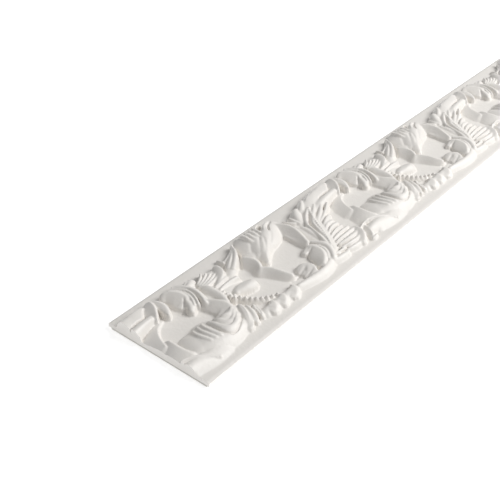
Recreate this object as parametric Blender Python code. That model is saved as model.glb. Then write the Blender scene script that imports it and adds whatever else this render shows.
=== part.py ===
"""Flexible strip moulding with a running acanthus scroll and a self-adhesive back.

The strip lies on its back: X runs along it, Y across it and Z up out of the relief. The origin is
the middle of the underside. The scroll is carved once on a grid of heights, by leaves, beads and
grooves that each have a few named sizes, and the repeat is laid end to end along the strip.
"""

import bmesh
import bpy
import numpy as np

# Driving sizes of the strip, in metres
STRIP_WIDTH = 0.080
REPEAT_LENGTH = 0.184
REPEATS = 3
EDGE_HEIGHT = 0.0036
FLOOR_HEIGHT = 0.0042
LINER_THICKNESS = 0.0002
TAPE_THICKNESS = 0.0005
TOUCHING_GAP = 0.0003
TAPE_INSET_SIDES = 0.002
TAPE_INSET_ENDS = 0.0003

# How the carving is meshed, in metres and triangles
CARVING_STEP = 0.001
OVERLAP_AROUND = 0.003
TOP_TRIANGLES = 8200

# Sizes inside the carving are in millimetres above the underside and along one repeat
MM = 0.001
FLOOR = FLOOR_HEIGHT / MM
EDGE = EDGE_HEIGHT / MM
WIDTH = STRIP_WIDTH / MM
REPEAT = REPEAT_LENGTH / MM
EDGE_ROUND = 2.2
SOFTENING = 0.35
CREST_PIECES = 20

# Edges sharper than this stay crisp in the shading
SHARP_EDGE_DEGREES = 35.0

MOULDING_COLOUR = (0.9, 0.89, 0.87, 1.0)
TAPE_COLOUR = (0.78, 0.78, 0.76, 1.0)
LINER_COLOUR = (0.86, 0.86, 0.84, 1.0)


def clear_scene():
    """Remove whatever the scene holds."""
    for item in list(bpy.context.scene.objects):
        bpy.data.objects.remove(item, do_unlink=True)


def through_three(values, share):
    """Smooth value at a share of the way through a start, middle and end value."""
    start, middle, end = values
    at_start = (1 - share) * (1 - 2 * share)
    at_middle = 4 * share * (1 - share)
    at_end = share * (2 * share - 1)
    return start * at_start + middle * at_middle + end * at_end


def bowed_line(start, end, bow, pieces=CREST_PIECES):
    """Points along a line that bends to its left by bow at one third and at two thirds."""
    start = np.array(start, dtype=float)
    end = np.array(end, dtype=float)
    chord = end - start
    sideways = np.array((-chord[1], chord[0])) / np.hypot(chord[0], chord[1])
    first = start + chord / 3 + sideways * (3 * bow[0] - 1.5 * bow[1])
    second = start + chord * 2 / 3 + sideways * (3 * bow[1] - 1.5 * bow[0])
    share = np.linspace(0, 1, pieces + 1)[:, None]
    rest = 1 - share
    bend = 3 * rest ** 2 * share * first + 3 * rest * share ** 2 * second
    return rest ** 3 * start + bend + share ** 3 * end


class Relief:
    """Heights of one repeat of the carving, on an even grid that joins end to end."""

    def __init__(self, step):
        self.step = step
        self.columns = round(REPEAT / step)
        self.rows = round(WIDTH / step) + 1
        across = np.arange(self.rows) * step
        from_edge = np.minimum(across, WIDTH - across)
        turned = np.clip(from_edge / EDGE_ROUND, 0, 1)
        profile = EDGE + (FLOOR - EDGE) * np.sin(turned * np.pi / 2)
        self.height = np.repeat(profile[:, None], self.columns, axis=1)

    def window(self, line, reach):
        """Rows, columns and positions of the grid points within reach of a line."""
        low = line.min(axis=0) - reach
        high = line.max(axis=0) + reach
        columns = np.arange(int(low[0] // self.step), int(high[0] // self.step) + 2)
        first_row = max(0, int(low[1] // self.step))
        last_row = min(self.rows - 1, int(high[1] // self.step) + 1)
        rows = np.arange(first_row, last_row + 1)
        along, across = np.meshgrid(columns * self.step, rows * self.step)
        return rows, columns % self.columns, along, across

    def leaf(self, start, end, crest, left, right, bow=(0, 0), feet=(FLOOR, FLOOR),
             swell=(0.4, 0.4), adds=False):
        """Lay one leaf, ridge or groove on the relief.

        Its crest runs from start to end at the three crest heights. Its sides fall away over the
        left and right widths to the heights in feet. Swell 0 makes a side straight, 1 makes it
        round, and less than 0 makes it hollow. A leaf that adds is laid on top of what is there.
        """
        line = bowed_line(start, end, bow)
        rows, columns, along, across = self.window(line, max(max(left), max(right)))
        if rows.size == 0:
            return
        lengths = np.hypot(*np.diff(line, axis=0).T)
        run = np.concatenate(((0,), np.cumsum(lengths)))
        nearest = np.full(along.shape, np.inf)
        share = np.zeros(along.shape)
        lean = np.zeros(along.shape)
        for index, length in enumerate(lengths):
            step_x, step_y = (line[index + 1] - line[index]) / length
            from_x = along - line[index, 0]
            from_y = across - line[index, 1]
            travelled = np.clip(from_x * step_x + from_y * step_y, 0, length)
            off_x = from_x - travelled * step_x
            off_y = from_y - travelled * step_y
            distance = np.hypot(off_x, off_y)
            closer = distance < nearest
            nearest = np.where(closer, distance, nearest)
            share = np.where(closer, (run[index] + travelled) / run[-1], share)
            lean = np.where(closer, step_x * off_y - step_y * off_x, lean)
        leftness = 0.5 + 0.5 * np.clip(lean / np.maximum(nearest, 1e-6), -1, 1)
        left_width = through_three(left, share)
        right_width = through_three(right, share)
        width = np.maximum(right_width + (left_width - right_width) * leftness, 0.05)
        foot = feet[1] + (feet[0] - feet[1]) * leftness
        roundness = swell[1] + (swell[0] - swell[1]) * leftness
        out = nearest / width
        rise = (through_three(crest, share) - foot) * (1 - out) * (1 + roundness * out)
        patch = np.ix_(rows, columns)
        before = self.height[patch]
        if adds:
            after = before + rise
        else:
            after = np.maximum(before, foot + rise)
        self.height[patch] = np.where(out < 1, after, before)

    def rim(self, start, end, tops, size, bow=(0, 0)):
        """Raise a thin rounded rim of the three tops, with the given half width."""
        foot = min(tops) - 1.2 * size
        sides = (0.7 * size, size, 0.7 * size)
        self.leaf(start, end, tops, sides, sides, bow, feet=(foot, foot), swell=(1, 1))

    def groove(self, start, end, depth, width, bow=(0, 0)):
        """Cut a groove of the three depths, with the given half width."""
        cut = tuple(-value for value in depth)
        sides = (width, width, width)
        self.leaf(start, end, cut, sides, sides, bow, feet=(0, 0), swell=(0.6, 0.6), adds=True)

    def beads(self, start, end, bow, count, sizes, tops):
        """String round beads along a line; radius and top run from the first to the last."""
        line = bowed_line(start, end, bow, count - 1)
        for number, centre in enumerate(line):
            share = number / (count - 1)
            size = sizes[0] + (sizes[1] - sizes[0]) * share
            top = tops[0] + (tops[1] - tops[0]) * share
            sides = (size, size, size)
            foot = top - 1.3 * size
            nose = centre + (0.1, 0)
            self.leaf(centre, nose, (top, top, top), sides, sides, feet=(foot, foot), swell=(1, 1))

    def soften(self, spread):
        """Blur the carving a little, as a worn mould does."""
        reach = int(np.ceil(3 * spread / self.step))
        offsets = np.arange(-reach, reach + 1)
        weights = np.exp(-0.5 * (offsets * self.step / spread) ** 2)
        weights = weights / weights.sum()
        sideways = sum(w * np.roll(self.height, o, axis=1) for w, o in zip(weights, offsets))
        padded = np.pad(sideways, ((reach, reach), (0, 0)), mode="edge")
        rows = self.rows
        self.height = sum(w * padded[o + reach:o + reach + rows] for w, o in zip(weights, offsets))


def carve_plume(relief):
    """Long plume leaf that runs over the top into the next ring, with its ribbed stem."""
    # Bed under the leaf, then the upper lobe and the lower band of its rolled end
    relief.leaf((150, 50), (175, 60), (7.4, 8.6, 8.6), (5, 7, 7), (3, 6, 6),
                bow=(1, 1), feet=(5.4, 5.4), swell=(0.8, 0.8))
    relief.leaf((165, 62), (194, 67.4), (9, 11, 10), (4, 5.6, 4.6), (5, 6, 5.4),
                bow=(0.8, 1.6), feet=(5.4, 9.4), swell=(1, 0.8))
    relief.leaf((184, 67), (201.6, 70.2), (10, 10.6, 9.4), (2.6, 3, 1.6), (3, 6.4, 1.8),
                bow=(0.4, 0.4), feet=(6, 9.4), swell=(1, 0.9))
    relief.leaf((166, 53), (198.5, 58.6), (8.5, 10.2, 9.8), (2.5, 3.4, 3), (2.4, 3.8, 2.6),
                bow=(1.2, 1.2), feet=(9.2, 6), swell=(1, 0.9))
    relief.groove((182, 52), (202, 57), (0.8, 1.2, 0.6), 0.9, bow=(0.6, 0.6))
    # Rounded teeth along its upper side, the lowest one first
    relief.leaf((149, 55.5), (145, 63.5), (8.5, 8.8, 8), (1.8, 2.2, 1.4), (1.5, 2, 1.2),
                bow=(0.4, 0.4), feet=(5.5, 5), swell=(0.8, 0.8))
    relief.leaf((151, 53), (151.4, 62.4), (8.8, 9, 8.5), (1.6, 2.4, 1.8), (1.8, 2.4, 1.6),
                bow=(0.6, 0.6), feet=(6, 5.5), swell=(0.8, 0.8))
    relief.leaf((152.6, 53.6), (161.4, 65), (8.8, 10, 9.4), (3.6, 4.6, 2.6), (3, 4, 2.6),
                bow=(1, 1), feet=(5.8, 8), swell=(1, 0.9))
    relief.leaf((162, 61.5), (172, 68.6), (9, 10.8, 9.6), (3, 3.6, 2.4), (2.8, 3, 2.4),
                bow=(-0.6, -0.6), feet=(5.5, 8.6), swell=(0.9, 0.9))
    relief.leaf((171, 64.5), (182.5, 69.4), (9.5, 11, 9.8), (3, 3.4, 2.8), (3, 3, 2.6),
                bow=(-0.4, -0.4), feet=(5.5, 9.2), swell=(0.9, 0.9))
    # Ribs of the stem, from the inner one outwards
    relief.leaf((143, 20), (163, 50), (8, 9, 9), (5, 6.5, 6), (4, 5, 5),
                bow=(-0.6, 0), feet=(5.6, 5.6), swell=(1, 1))
    relief.leaf((139, 17.5), (152, 47.5), (8.5, 9.6, 9.4), (1.6, 1.8, 1.4), (1.4, 1.6, 1.3),
                bow=(-1.2, -0.8), feet=(7.4, 8.6), swell=(0.9, 0.9))
    relief.leaf((152, 47), (169, 60), (9.4, 9.8, 9.8), (1.6, 1.8, 1.6), (1.4, 1.6, 1.6),
                bow=(1.4, 1), feet=(8.4, 8.6), swell=(0.9, 0.9))
    relief.leaf((141.5, 17), (157, 46), (8.5, 9.4, 9.4), (1.2, 1.4, 1.4), (1.5, 1.8, 1.5),
                bow=(-0.8, 0), feet=(8.6, 7), swell=(0.9, 0.9))
    relief.leaf((156.5, 45.5), (174, 58.5), (9.4, 10, 10), (1.6, 1.8, 1.8), (1.5, 1.9, 1.9),
                bow=(0.8, 0.4), feet=(8.6, 8.6), swell=(0.9, 0.9))
    relief.leaf((159, 45), (179, 56.5), (8.8, 9.8, 9.8), (1.5, 1.8, 1.6), (1.5, 1.9, 1.6),
                bow=(-0.6, -0.8), feet=(8.4, 8.4), swell=(0.9, 0.9))
    relief.leaf((161, 43.5), (183, 53.5), (8.2, 9.4, 9.4), (1.5, 1.8, 1.5), (1.5, 1.8, 1.6),
                bow=(-0.9, -0.8), feet=(8.2, 5.6), swell=(0.9, 0.9))
    relief.beads((141.5, 20), (168, 58.5), (-1, 0.4), 21, (0.8, 1.2), (9.9, 10.6))
    # Bed and small leaflet that fill the corner between the stem and ring B
    relief.leaf((147, 52), (142.6, 31), (7.2, 7.6, 7.2), (4, 5, 4), (4, 5, 3),
                bow=(0.6, 0.6), feet=(6, 6), swell=(0.8, 0.8))
    relief.leaf((148.4, 49), (145.6, 34), (8.2, 8.8, 8), (2, 2.8, 2.2), (2, 2.8, 2),
                bow=(0.6, 0.6), feet=(7.6, 6.8), swell=(0.9, 0.9))


def carve_shell_fan(relief):
    """Fan of petals on the right of the stem, with its turned-up outer rim."""
    relief.leaf((151, 26), (162, 27), (7, 7.4, 7), (9, 10, 8), (10, 12, 9),
                feet=(5.4, 5), swell=(0.9, 0.9))
    relief.leaf((158, 38.5), (171, 43.4), (8, 9.6, 9.2), (1.4, 2.2, 2.2), (2, 3, 2.6),
                bow=(0.6, 0.6), feet=(6, 6.8), swell=(0.9, 0.9))
    petals = 7
    for number in range(petals):
        share = number / (petals - 1)
        plump = 1.8 + 0.3 * np.cos(2.5 * np.pi * share)
        root = (155.5 - 8 * share, 34.5 - 18.5 * share)
        reach = 1.4 * np.cos(3 * np.pi * share)
        tip = (166.8 + 2.6 * np.sin(np.pi * share) + reach, 38.6 - 24.2 * share)
        relief.leaf(root, tip, (8, 8.9, 8.2), (0.8, plump, plump + 0.2), (0.8, plump, plump),
                    bow=(1.4 - 2.4 * share, 1.4 - 2.4 * share), feet=(6.8, 6.6), swell=(1, 1))
    relief.leaf((149, 11.8), (163.5, 10.6), (7.2, 7.8, 7.4), (1.5, 2.2, 2), (1.5, 2.4, 2.2),
                bow=(-0.5, -0.5), feet=(6, FLOOR), swell=(0.9, 0.9))
    relief.leaf((172, 22), (164, 9.4), (8.6, 9, 8), (1.8, 2.4, 2), (3, 4.6, 3.6),
                bow=(2.2, 1.8), feet=(6.4, 7.2), swell=(1, 0.4))


def carve_heel(relief):
    """Curled leaf at the low border that starts the next ring."""
    # Its dark hollow side and the turned lip that ends it below
    relief.leaf((172.5, 8.5), (177.6, 18.2), (6.6, 7.8, 8), (2, 4, 3.4), (1.6, 2, 2.4),
                bow=(-1.2, -1), feet=(5, 5.4), swell=(0, 0.9))
    relief.leaf((171, 7.4), (176.5, 7.6), (6.4, 6.8, 6.8), (1.2, 1.6, 1.4), (1.2, 1.5, 1.2),
                bow=(-0.6, -0.4), swell=(0.9, 0.9))
    # Body, and the thin ribbon that runs over it on to the fat leaf
    relief.leaf((179, 14.5), (199, 14), (8.4, 9, 8), (3.6, 4, 3.6), (4.8, 6.6, 8),
                bow=(0.6, 0.6), feet=(6.4, FLOOR), swell=(0.9, 1))
    relief.leaf((173, 19), (203, 8.6), (7.8, 9.9, 6.8), (1, 1.3, 1), (1.1, 1.5, 1.4),
                bow=(4.6, 3.6), feet=(5.8, 7.6), swell=(0.9, 0.9))


def carve_ring_a(relief):
    """First ring: crescent, fat fluted leaf, spoon, split disc and curls."""
    # Two lobes of the crescent on the left, each with a bright rounded rim
    relief.leaf((19, 55), (3.8, 36.4), (5.6, 7.1, 8.4), (1, 1.2, 1.4), (4.5, 9, 8.5),
                bow=(-3, -2.5), feet=(5.4, FLOOR), swell=(1, 0.2))
    relief.leaf((7.2, 36.4), (8.2, 21.4), (9, 9.6, 8.8), (2, 2.6, 2), (7, 11, 10),
                bow=(-0.9, -1.1), feet=(7.8, FLOOR), swell=(1, 0.2))
    # Fat leaf along the bottom
    relief.leaf((17, 20.5), (44, 17), (9.2, 10.6, 9.8), (16, 20, 14), (7, 9.8, 7.5),
                bow=(-1, -1), feet=(4.8, FLOOR), swell=(1, 1))
    relief.leaf((39, 26), (52.4, 29.4), (9.6, 10, 9.6), (6, 3.6, 2.4), (14, 14, 8),
                bow=(-0.6, -0.6), feet=(6.8, FLOOR), swell=(1, 1))
    relief.leaf((2, 13), (26, 14.4), (7.4, 7.8, 8.4), (4, 5, 5), (6, 8.4, 8.6),
                feet=(6, FLOOR), swell=(1, 0.5))
    carve_flutes(relief)
    # Spoon-shaped hollow leaf at the right of the ring
    relief.leaf((48.2, 45), (53.4, 31.6), (10, 10.4, 10), (2, 2.4, 2), (4.8, 8.4, 12.5),
                bow=(0.6, 1.4), feet=(8.6, 5.6), swell=(1, -0.1))
    # Disc with a turned rim, and the bean below it
    relief.leaf((36.4, 68.6), (42, 57.4), (9.8, 10.8, 10.4), (2.4, 3, 2.6), (5, 8.2, 8.8),
                bow=(1.3, 1.3), feet=(9, 6.2), swell=(1, 0))
    relief.leaf((40, 54.4), (37, 47.6), (9.8, 9.2, 8.4), (3.6, 4.4, 3), (2, 2.8, 1.8),
                bow=(0.8, 0.8), feet=(6.6, 6.8), swell=(1, 0.8))
    relief.groove((32.6, 51.4), (40.6, 56.8), (0.4, 1, 1), 0.65, bow=(-0.6, -0.6))
    # Curls between the plume's end and the disc
    relief.leaf((24.6, 69.8), (17.6, 57.2), (9.8, 11.2, 9.8), (1.4, 1.8, 1.4), (4, 9.4, 3),
                bow=(0.8, 0.8), feet=(8.6, 7), swell=(1, -0.1))
    relief.leaf((26.4, 69.4), (25, 54.4), (9.6, 10.4, 9.2), (2, 3, 1.4), (2, 4, 1.8),
                bow=(1.7, 1.7), feet=(8.4, 8.4), swell=(0.8, 0.6))
    # Ridges between the disc and the calyx
    relief.leaf((40.4, 70), (41, 48.6), (8, 10, 9.2), (1.4, 1.8, 1.4), (1, 1.2, 1),
                bow=(3.3, 3.5), feet=(8, 7.8), swell=(1, 1))
    relief.leaf((42.6, 70), (43, 47.2), (7.8, 10.3, 9.4), (1.4, 1.9, 1.5), (1.1, 1.2, 1.1),
                bow=(3.8, 3.5), feet=(8, 7.8), swell=(1, 1))
    relief.leaf((45, 69.6), (46.4, 44.8), (8, 11, 10.2), (2.8, 3.8, 2.8), (1.2, 1.5, 1.4),
                bow=(3.4, 3), feet=(8.4, 8), swell=(1, 1))


def carve_flutes(relief):
    """Reeds over the fat leaf: three short ones, then four shells nested under the spoon."""
    for start, end, lift in (((24, 34.5), (22.6, 18.5), 0.9),
                             ((27.8, 34.5), (26, 17.5), 1),
                             ((31, 34), (29.4, 16.5), 1.1)):
        relief.leaf(start, end, (lift, lift, 0.6 * lift), (1.2, 1.5, 1.2), (1.2, 1.5, 1.2),
                    bow=(-1.6, -1.4), feet=(0, 0), swell=(1, 1), adds=True)
    relief.groove((33, 31.4), (51.6, 20.4), (0.8, 1.7, 1.4), 0.9, bow=(-12.8, -12.2))
    shells = 3
    for number in range(shells):
        share = number / (shells - 1)
        start = (35.6 + 7 * share, 31.6 - share)
        end = (51.6 + 0.6 * share, 23 + 6 * share)
        sag = -10.5 + 7.1 * share
        lift = 1.3 - 0.3 * share
        outer = 3.4 - 1 * share
        relief.leaf(start, end, (lift, lift, 0.7 * lift), (1.1, 1.4, 1.1),
                    (0.7 * outer, outer, 0.7 * outer), bow=(sag, 0.9 * sag), feet=(0, 0),
                    swell=(1, 0.7), adds=True)


def carve_calyx(relief):
    """Bud between the rings, its blades to the right, falling leaves and bead string."""
    relief.leaf((55, 45), (74, 48), (7.6, 7.6, 7), (12, 14, 8), (12, 11, 7),
                feet=(5.4, 5), swell=(0.9, 0.9))
    relief.leaf((57.4, 54.4), (54.2, 33.4), (9.4, 10.2, 9.6), (2.4, 3, 2.2), (3, 4.2, 2.2),
                bow=(1.6, 1.8), feet=(8.2, 7.4), swell=(1, 0.6))
    relief.leaf((55.5, 58), (59.5, 48.5), (9, 10, 9.6), (1.4, 1.8, 1.4), (1.2, 1.6, 1.4),
                bow=(1, 1), feet=(7.6, 7.6), swell=(0.9, 0.9))
    # Blades that fan out to the right, the top one first
    relief.leaf((57, 59), (72, 62.5), (7, 7.4, 7), (4.5, 5.5, 5), (4, 5, 4),
                feet=(5, 6), swell=(0.9, 0.9))
    relief.leaf((50.8, 64), (56.4, 65.6), (8.8, 9.4, 9), (3.6, 5, 4), (3, 4.4, 3.6),
                feet=(6.4, 6.4), swell=(1, 1))
    relief.groove((51, 65.6), (57, 67.2), (0.5, 0.8, 0.4), 1)
    ribs = 5
    for number in range(ribs):
        share = number / (ribs - 1)
        root = (57 + 0.8 * share, 61 - 6 * share)
        tip = (66.5 + 10 * share - 3.5 * share ** 2, 67.2 - 9.2 * share)
        relief.leaf(root, tip, (8.6, 9.2, 8.2), (0.9, 1.15, 0.9), (0.9, 1.15, 0.9),
                    bow=(-0.9, -0.9), feet=(7.7, 7.7), swell=(1, 1))
    relief.leaf((65, 51), (78.6, 63.8), (8.8, 9.8, 9), (2.5, 6, 3.6), (1.4, 1.9, 1.8),
                bow=(-2.8, -3.4), feet=(6.6, 6.6), swell=(0.8, 0.9))
    relief.leaf((62.5, 50.8), (74.5, 52.4), (8.8, 9.2, 8.4), (1.2, 1.8, 1.4), (1.2, 1.6, 1.3),
                bow=(-0.6, -0.6), feet=(7, 7), swell=(0.9, 0.9))
    relief.leaf((62, 46.4), (78.4, 47), (8.8, 9.2, 8.8), (1.2, 2.2, 2.4), (1.2, 1.8, 2),
                bow=(0.3, 0.3), feet=(7, 6.8), swell=(0.9, 0.9))
    relief.leaf((68, 37.6), (80, 36.4), (8.8, 9.6, 9.4), (3.6, 5.4, 5.2), (2.8, 4.6, 4.8),
                bow=(0.5, 0.3), feet=(6.4, 5.8), swell=(1, 1))
    relief.groove((68, 38), (78, 38.4), (0.3, 0.5, 0.2), 2.4)
    # Leaves falling to the low border
    relief.leaf((57.4, 26.8), (49, 12), (9.8, 9.2, 7.4), (2.6, 3.4, 2.8), (3, 3.8, 3.2),
                bow=(0.8, 0.8), feet=(7.4, 6), swell=(0.9, 1))
    relief.rim((57.8, 26.4), (51.4, 14), (10.2, 9.9, 8.2), 1, bow=(0.9, 0.9))
    relief.leaf((60.2, 24), (55.2, 12), (9.4, 8.9, 7.4), (1.6, 2.4, 2), (1.4, 2, 1.6),
                bow=(0.9, 0.9), feet=(6.8, 7.4), swell=(1, 1))
    relief.leaf((63.4, 21.8), (61.4, 12.4), (9, 8.8, 7.4), (1.6, 2.1, 1.7), (1.4, 1.9, 1.5),
                bow=(0.5, 0.5), feet=(5.6, 7), swell=(0.9, 1))
    relief.groove((63.2, 19.6), (61.8, 14), (1, 1.4, 0.8), 0.8, bow=(0.3, 0.3))
    # Strings of round beads on their cords
    relief.leaf((62.4, 39), (82.6, 17.8), (7.6, 7, 6), (2.2, 2.4, 2), (2.2, 2.4, 2),
                bow=(-3.8, -3.8), feet=(5.4, 5.2), swell=(0.9, 0.9))
    relief.beads((62.4, 39.4), (82.4, 17.8), (-3.8, -3.8), 10, (1.7, 1.4), (9.7, 8.5))
    relief.beads((61.2, 43), (61.4, 34), (-0.3, -0.3), 4, (1.25, 1.45), (10, 10.2))


def carve_low_petals(relief):
    """Three shell petals along the low border, each one lapping over the next."""
    relief.leaf((66, 13.8), (93, 13.4), (7.2, 7.6, 7.6), (3.6, 4.4, 3.8), (4.8, 5.4, 4.8),
                feet=(4.8, FLOOR), swell=(1, 1))
    for right_end, reach in ((74.4, 6.5), (83.4, 6), (94.6, 8.5)):
        relief.leaf((right_end, 16), (right_end - 3.6, 10), (8, 8.4, 7.6), (2.6, 3.2, 2.8),
                    (1.5, reach, reach - 2.5), bow=(0.9, 0.9), feet=(5.4, 7.2),
                    swell=(1, 0.6))


def carve_pointed_leaves(relief):
    """Pointed leaves that lean over the upper left of ring B."""
    relief.leaf((76, 51), (86, 57), (7, 7.6, 7.6), (4, 4.6, 3.4), (4, 4, 3),
                feet=(5.4, 5.4), swell=(0.9, 0.9))
    relief.leaf((85, 69), (85.2, 63.5), (7, 7.6, 7.6), (1.2, 1.5, 1.3), (1.2, 1.5, 1.3),
                feet=(5.5, 5.5), swell=(0.9, 0.9))
    relief.leaf((86.8, 64.6), (99, 69.4), (7.4, 8.2, 7.2), (1.6, 2, 1.2), (1, 1.2, 1),
                bow=(-0.8, -0.8), feet=(5, 6.6), swell=(0.9, 0.9))
    relief.leaf((83, 58), (98.5, 68.6), (8, 9.2, 8), (2.8, 2.8, 1.2), (1.4, 1.6, 1),
                bow=(-0.4, -0.6), feet=(5.5, 7.8), swell=(0.9, 0.9))
    relief.leaf((84.5, 54.8), (101.8, 71.4), (8.6, 10, 8.8), (2, 2.4, 1.4), (1.8, 2.4, 1.4),
                bow=(-1.4, -1.8), feet=(8, 7), swell=(0.9, 1))
    relief.groove((90, 53.4), (101.8, 69.5), (0.6, 2.6, 1.4), 1.4, bow=(-1, -1.4))


def carve_ring_b(relief):
    """Second ring: crescent, hooded leaf with fluted top, hollow leaf, hook and roll."""
    # Two lobes of the crescent on the left, each with a bright rounded rim
    relief.leaf((95.4, 57.6), (94.6, 41.6), (8.8, 9.8, 9.4), (2, 2.8, 2.2), (5.4, 7, 5.4),
                bow=(2.4, 2.6), feet=(8, FLOOR), swell=(1, 0.2))
    relief.leaf((94.6, 41), (102.8, 22.8), (9.2, 9.4, 8.4), (2.4, 3, 2.2), (5, 5, 3.4),
                bow=(1, 0.2), feet=(7, FLOOR), swell=(1, 0.2))
    # Hood over the top of the ring, and the bed that ties it to the hollow leaf
    relief.leaf((104, 54), (136, 60), (7.4, 8, 7.2), (7, 12, 6), (4, 9, 6),
                bow=(2, 3), feet=(6, 5), swell=(0.9, 0.9))
    relief.leaf((105.5, 43.5), (118.5, 57.5), (7.6, 10.2, 11), (3.5, 9, 12), (1.6, 5, 8),
                bow=(0.9, 0.9), feet=(5.4, 5.4), swell=(0.6, 1))
    relief.leaf((115, 56), (136.5, 66.4), (10.6, 11.4, 10.4), (3, 4, 3), (7, 11, 8),
                bow=(1, 1.4), feet=(9.4, 5.8), swell=(1, 1))
    relief.leaf((107, 52), (119, 66), (8.6, 10.4, 10.2), (6, 9.5, 9), (4, 6, 6),
                feet=(5, 5.4), swell=(0.6, 1))
    relief.leaf((105, 59), (114, 69), (7.6, 9, 9.2), (6, 9, 8), (5, 6, 6),
                feet=(5, 5), swell=(0.5, 1))
    relief.groove((109, 49), (120, 60), (0.2, 0.6, 0.3), 1.3, bow=(-0.8, -0.8))
    relief.groove((114, 50.5), (128, 60), (0.2, 0.5, 0.3), 1.3, bow=(-0.8, -0.8))
    strands = 4
    for number in range(strands):
        share = number / (strands - 1)
        relief.leaf((112.5 + 10.5 * share, 62 - 2 * share), (114 + 11 * share, 73),
                    (10.2, 10.8, 8.8), (1.4, 2, 1.5), (1.2, 1.6, 1.3),
                    bow=(0.9, 0.5), feet=(9.3, 9.3), swell=(1, 1))
    relief.leaf((124.5, 61.5), (137, 70), (11.2, 11.4, 9.8), (2, 2.4, 1.8), (1.6, 2, 1.6),
                bow=(1.6, 1.6), feet=(7.6, 8.6), swell=(1, 1))
    relief.leaf((124.5, 69.5), (133, 73.6), (8.6, 9, 7.6), (1, 1.2, 1), (1, 1.1, 0.9),
                bow=(1.6, 1.4), feet=(5, 6.8), swell=(0.9, 0.9))
    relief.groove((128.5, 61.8), (137, 68), (1.4, 2, 1.2), 0.9, bow=(1, 1))
    # Hollow leaf on the right, and two low rims at its left
    relief.leaf((135.6, 54.5), (135.2, 36), (6, 6.2, 6), (7, 7, 5), (1.6, 1.9, 1.6),
                feet=(6, FLOOR), swell=(0, 1))
    relief.leaf((135.8, 65), (136.6, 36.6), (10, 10.6, 9.2), (2.2, 2.8, 2), (3.4, 6.8, 3.6),
                bow=(5, 3.6), feet=(8.6, 5.8), swell=(1, -0.1))
    relief.rim((134.8, 53), (134.4, 36.5), (6.6, 6.8, 6.6), 0.9)
    # Hook that curls in from the stalk, and the two curls behind it
    relief.leaf((127.4, 31.6), (134.6, 32.4), (7, 8, 9), (1.8, 2.4, 2.2), (2.4, 3, 2.4),
                bow=(0.4, 0.4), feet=(5.4, 7.4), swell=(0.6, 1))
    relief.leaf((134, 29.2), (125.5, 14.5), (9.8, 10.4, 9.4), (2, 2.4, 1.8), (6.6, 8.6, 5),
                bow=(2.8, 2.6), feet=(8.8, 6), swell=(1, 0.3))
    relief.groove((126, 27.6), (133, 29.2), (0.9, 1.2, 0.5), 0.8, bow=(0.4, 0.4))
    relief.leaf((135.6, 31.6), (131.2, 15), (8.8, 9.6, 9), (1.5, 1.9, 1.5), (1, 1.1, 1),
                bow=(3.2, 3), feet=(8.2, 8), swell=(1, 1))
    relief.leaf((139, 33.6), (134, 12.6), (9, 10, 9.4), (2.2, 3, 2), (2, 2.6, 2),
                bow=(4.2, 3.6), feet=(7.8, 8.2), swell=(1, 1))
    # Rolled end inside the bottom of the ring
    relief.leaf((116.6, 22.6), (116.8, 14.4), (8.6, 9, 8.6), (1.6, 2, 1.7), (9, 16, 9),
                bow=(1.6, 1.6), feet=(6.8, 5.4), swell=(1, 0.5))
    for root, tip in (((100, 20.4), (114.5, 20.8)), ((104, 15.6), (116, 16))):
        relief.groove(root, tip, (0.6, 0.9, 0.3), 1, bow=(-0.4, -0.4))


def carve_stalk(relief):
    """Smooth stalk sweeping along the low border under ring B, and its two end leaves."""
    relief.leaf((98, 13), (135, 15.4), (7.8, 8.4, 8.6), (2.4, 2.4, 1.8), (3.4, 5.2, 4.4),
                bow=(-2.3, -3.3), feet=(6, FLOOR), swell=(0.9, 0.9))
    relief.leaf((131, 12), (146.5, 10.4), (7.4, 7.8, 7.4), (1.8, 2.4, 2.4), (2, 2.8, 2.6),
                bow=(-0.3, -0.3), feet=(6.4, FLOOR), swell=(1, 1))
    relief.leaf((138, 15), (150, 14.8), (7.8, 8, 7.4), (1, 1.3, 1.4), (1, 1.2, 1.2),
                bow=(-0.5, -0.5), feet=(6.4, 6.4), swell=(0.9, 0.9))


def carve_scroll(step):
    """One whole repeat of the scroll."""
    relief = Relief(step)
    carve_ring_a(relief)
    carve_calyx(relief)
    carve_low_petals(relief)
    carve_ring_b(relief)
    carve_pointed_leaves(relief)
    carve_stalk(relief)
    carve_shell_fan(relief)
    carve_plume(relief)
    carve_heel(relief)
    relief.soften(SOFTENING)
    return relief


def strip_surface(relief):
    """Open mesh of the carved top, laid past all four edges of the strip."""
    step = relief.step * MM
    beyond = round(OVERLAP_AROUND / step)
    columns = np.arange(-beyond, relief.columns * REPEATS + beyond + 1)
    rows = np.arange(-beyond, relief.rows + beyond)
    inside = np.clip(rows, 0, relief.rows - 1)
    height = relief.height[np.ix_(inside, columns % relief.columns)] * MM
    along = columns * step - REPEAT_LENGTH * REPEATS / 2
    across = rows * step - STRIP_WIDTH / 2
    grid_x, grid_y = np.meshgrid(along, across)
    points = np.stack((grid_x, grid_y, height), axis=-1).reshape(-1, 3)
    width = len(columns)
    corner = (np.arange(len(rows) - 1)[:, None] * width + np.arange(width - 1)).ravel()
    faces = np.stack((corner, corner + 1, corner + width + 1, corner + width), axis=1)
    mesh = bpy.data.meshes.new("carved_surface")
    mesh.from_pydata(points.tolist(), [], faces.tolist())
    return mesh


def thinned(mesh, triangles):
    """The same surface with about the given number of triangles, most where it bends most."""
    holder = bpy.data.objects.new("surface_to_thin", mesh)
    bpy.context.scene.collection.objects.link(holder)
    decimate = holder.modifiers.new("Decimate", "DECIMATE")
    decimate.ratio = triangles / (2 * len(mesh.polygons))
    decimate.use_collapse_triangulate = True
    graph = bpy.context.evaluated_depsgraph_get()
    result = bpy.data.meshes.new_from_object(holder.evaluated_get(graph))
    bpy.data.objects.remove(holder, do_unlink=True)
    bpy.data.meshes.remove(mesh)
    return result


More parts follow.
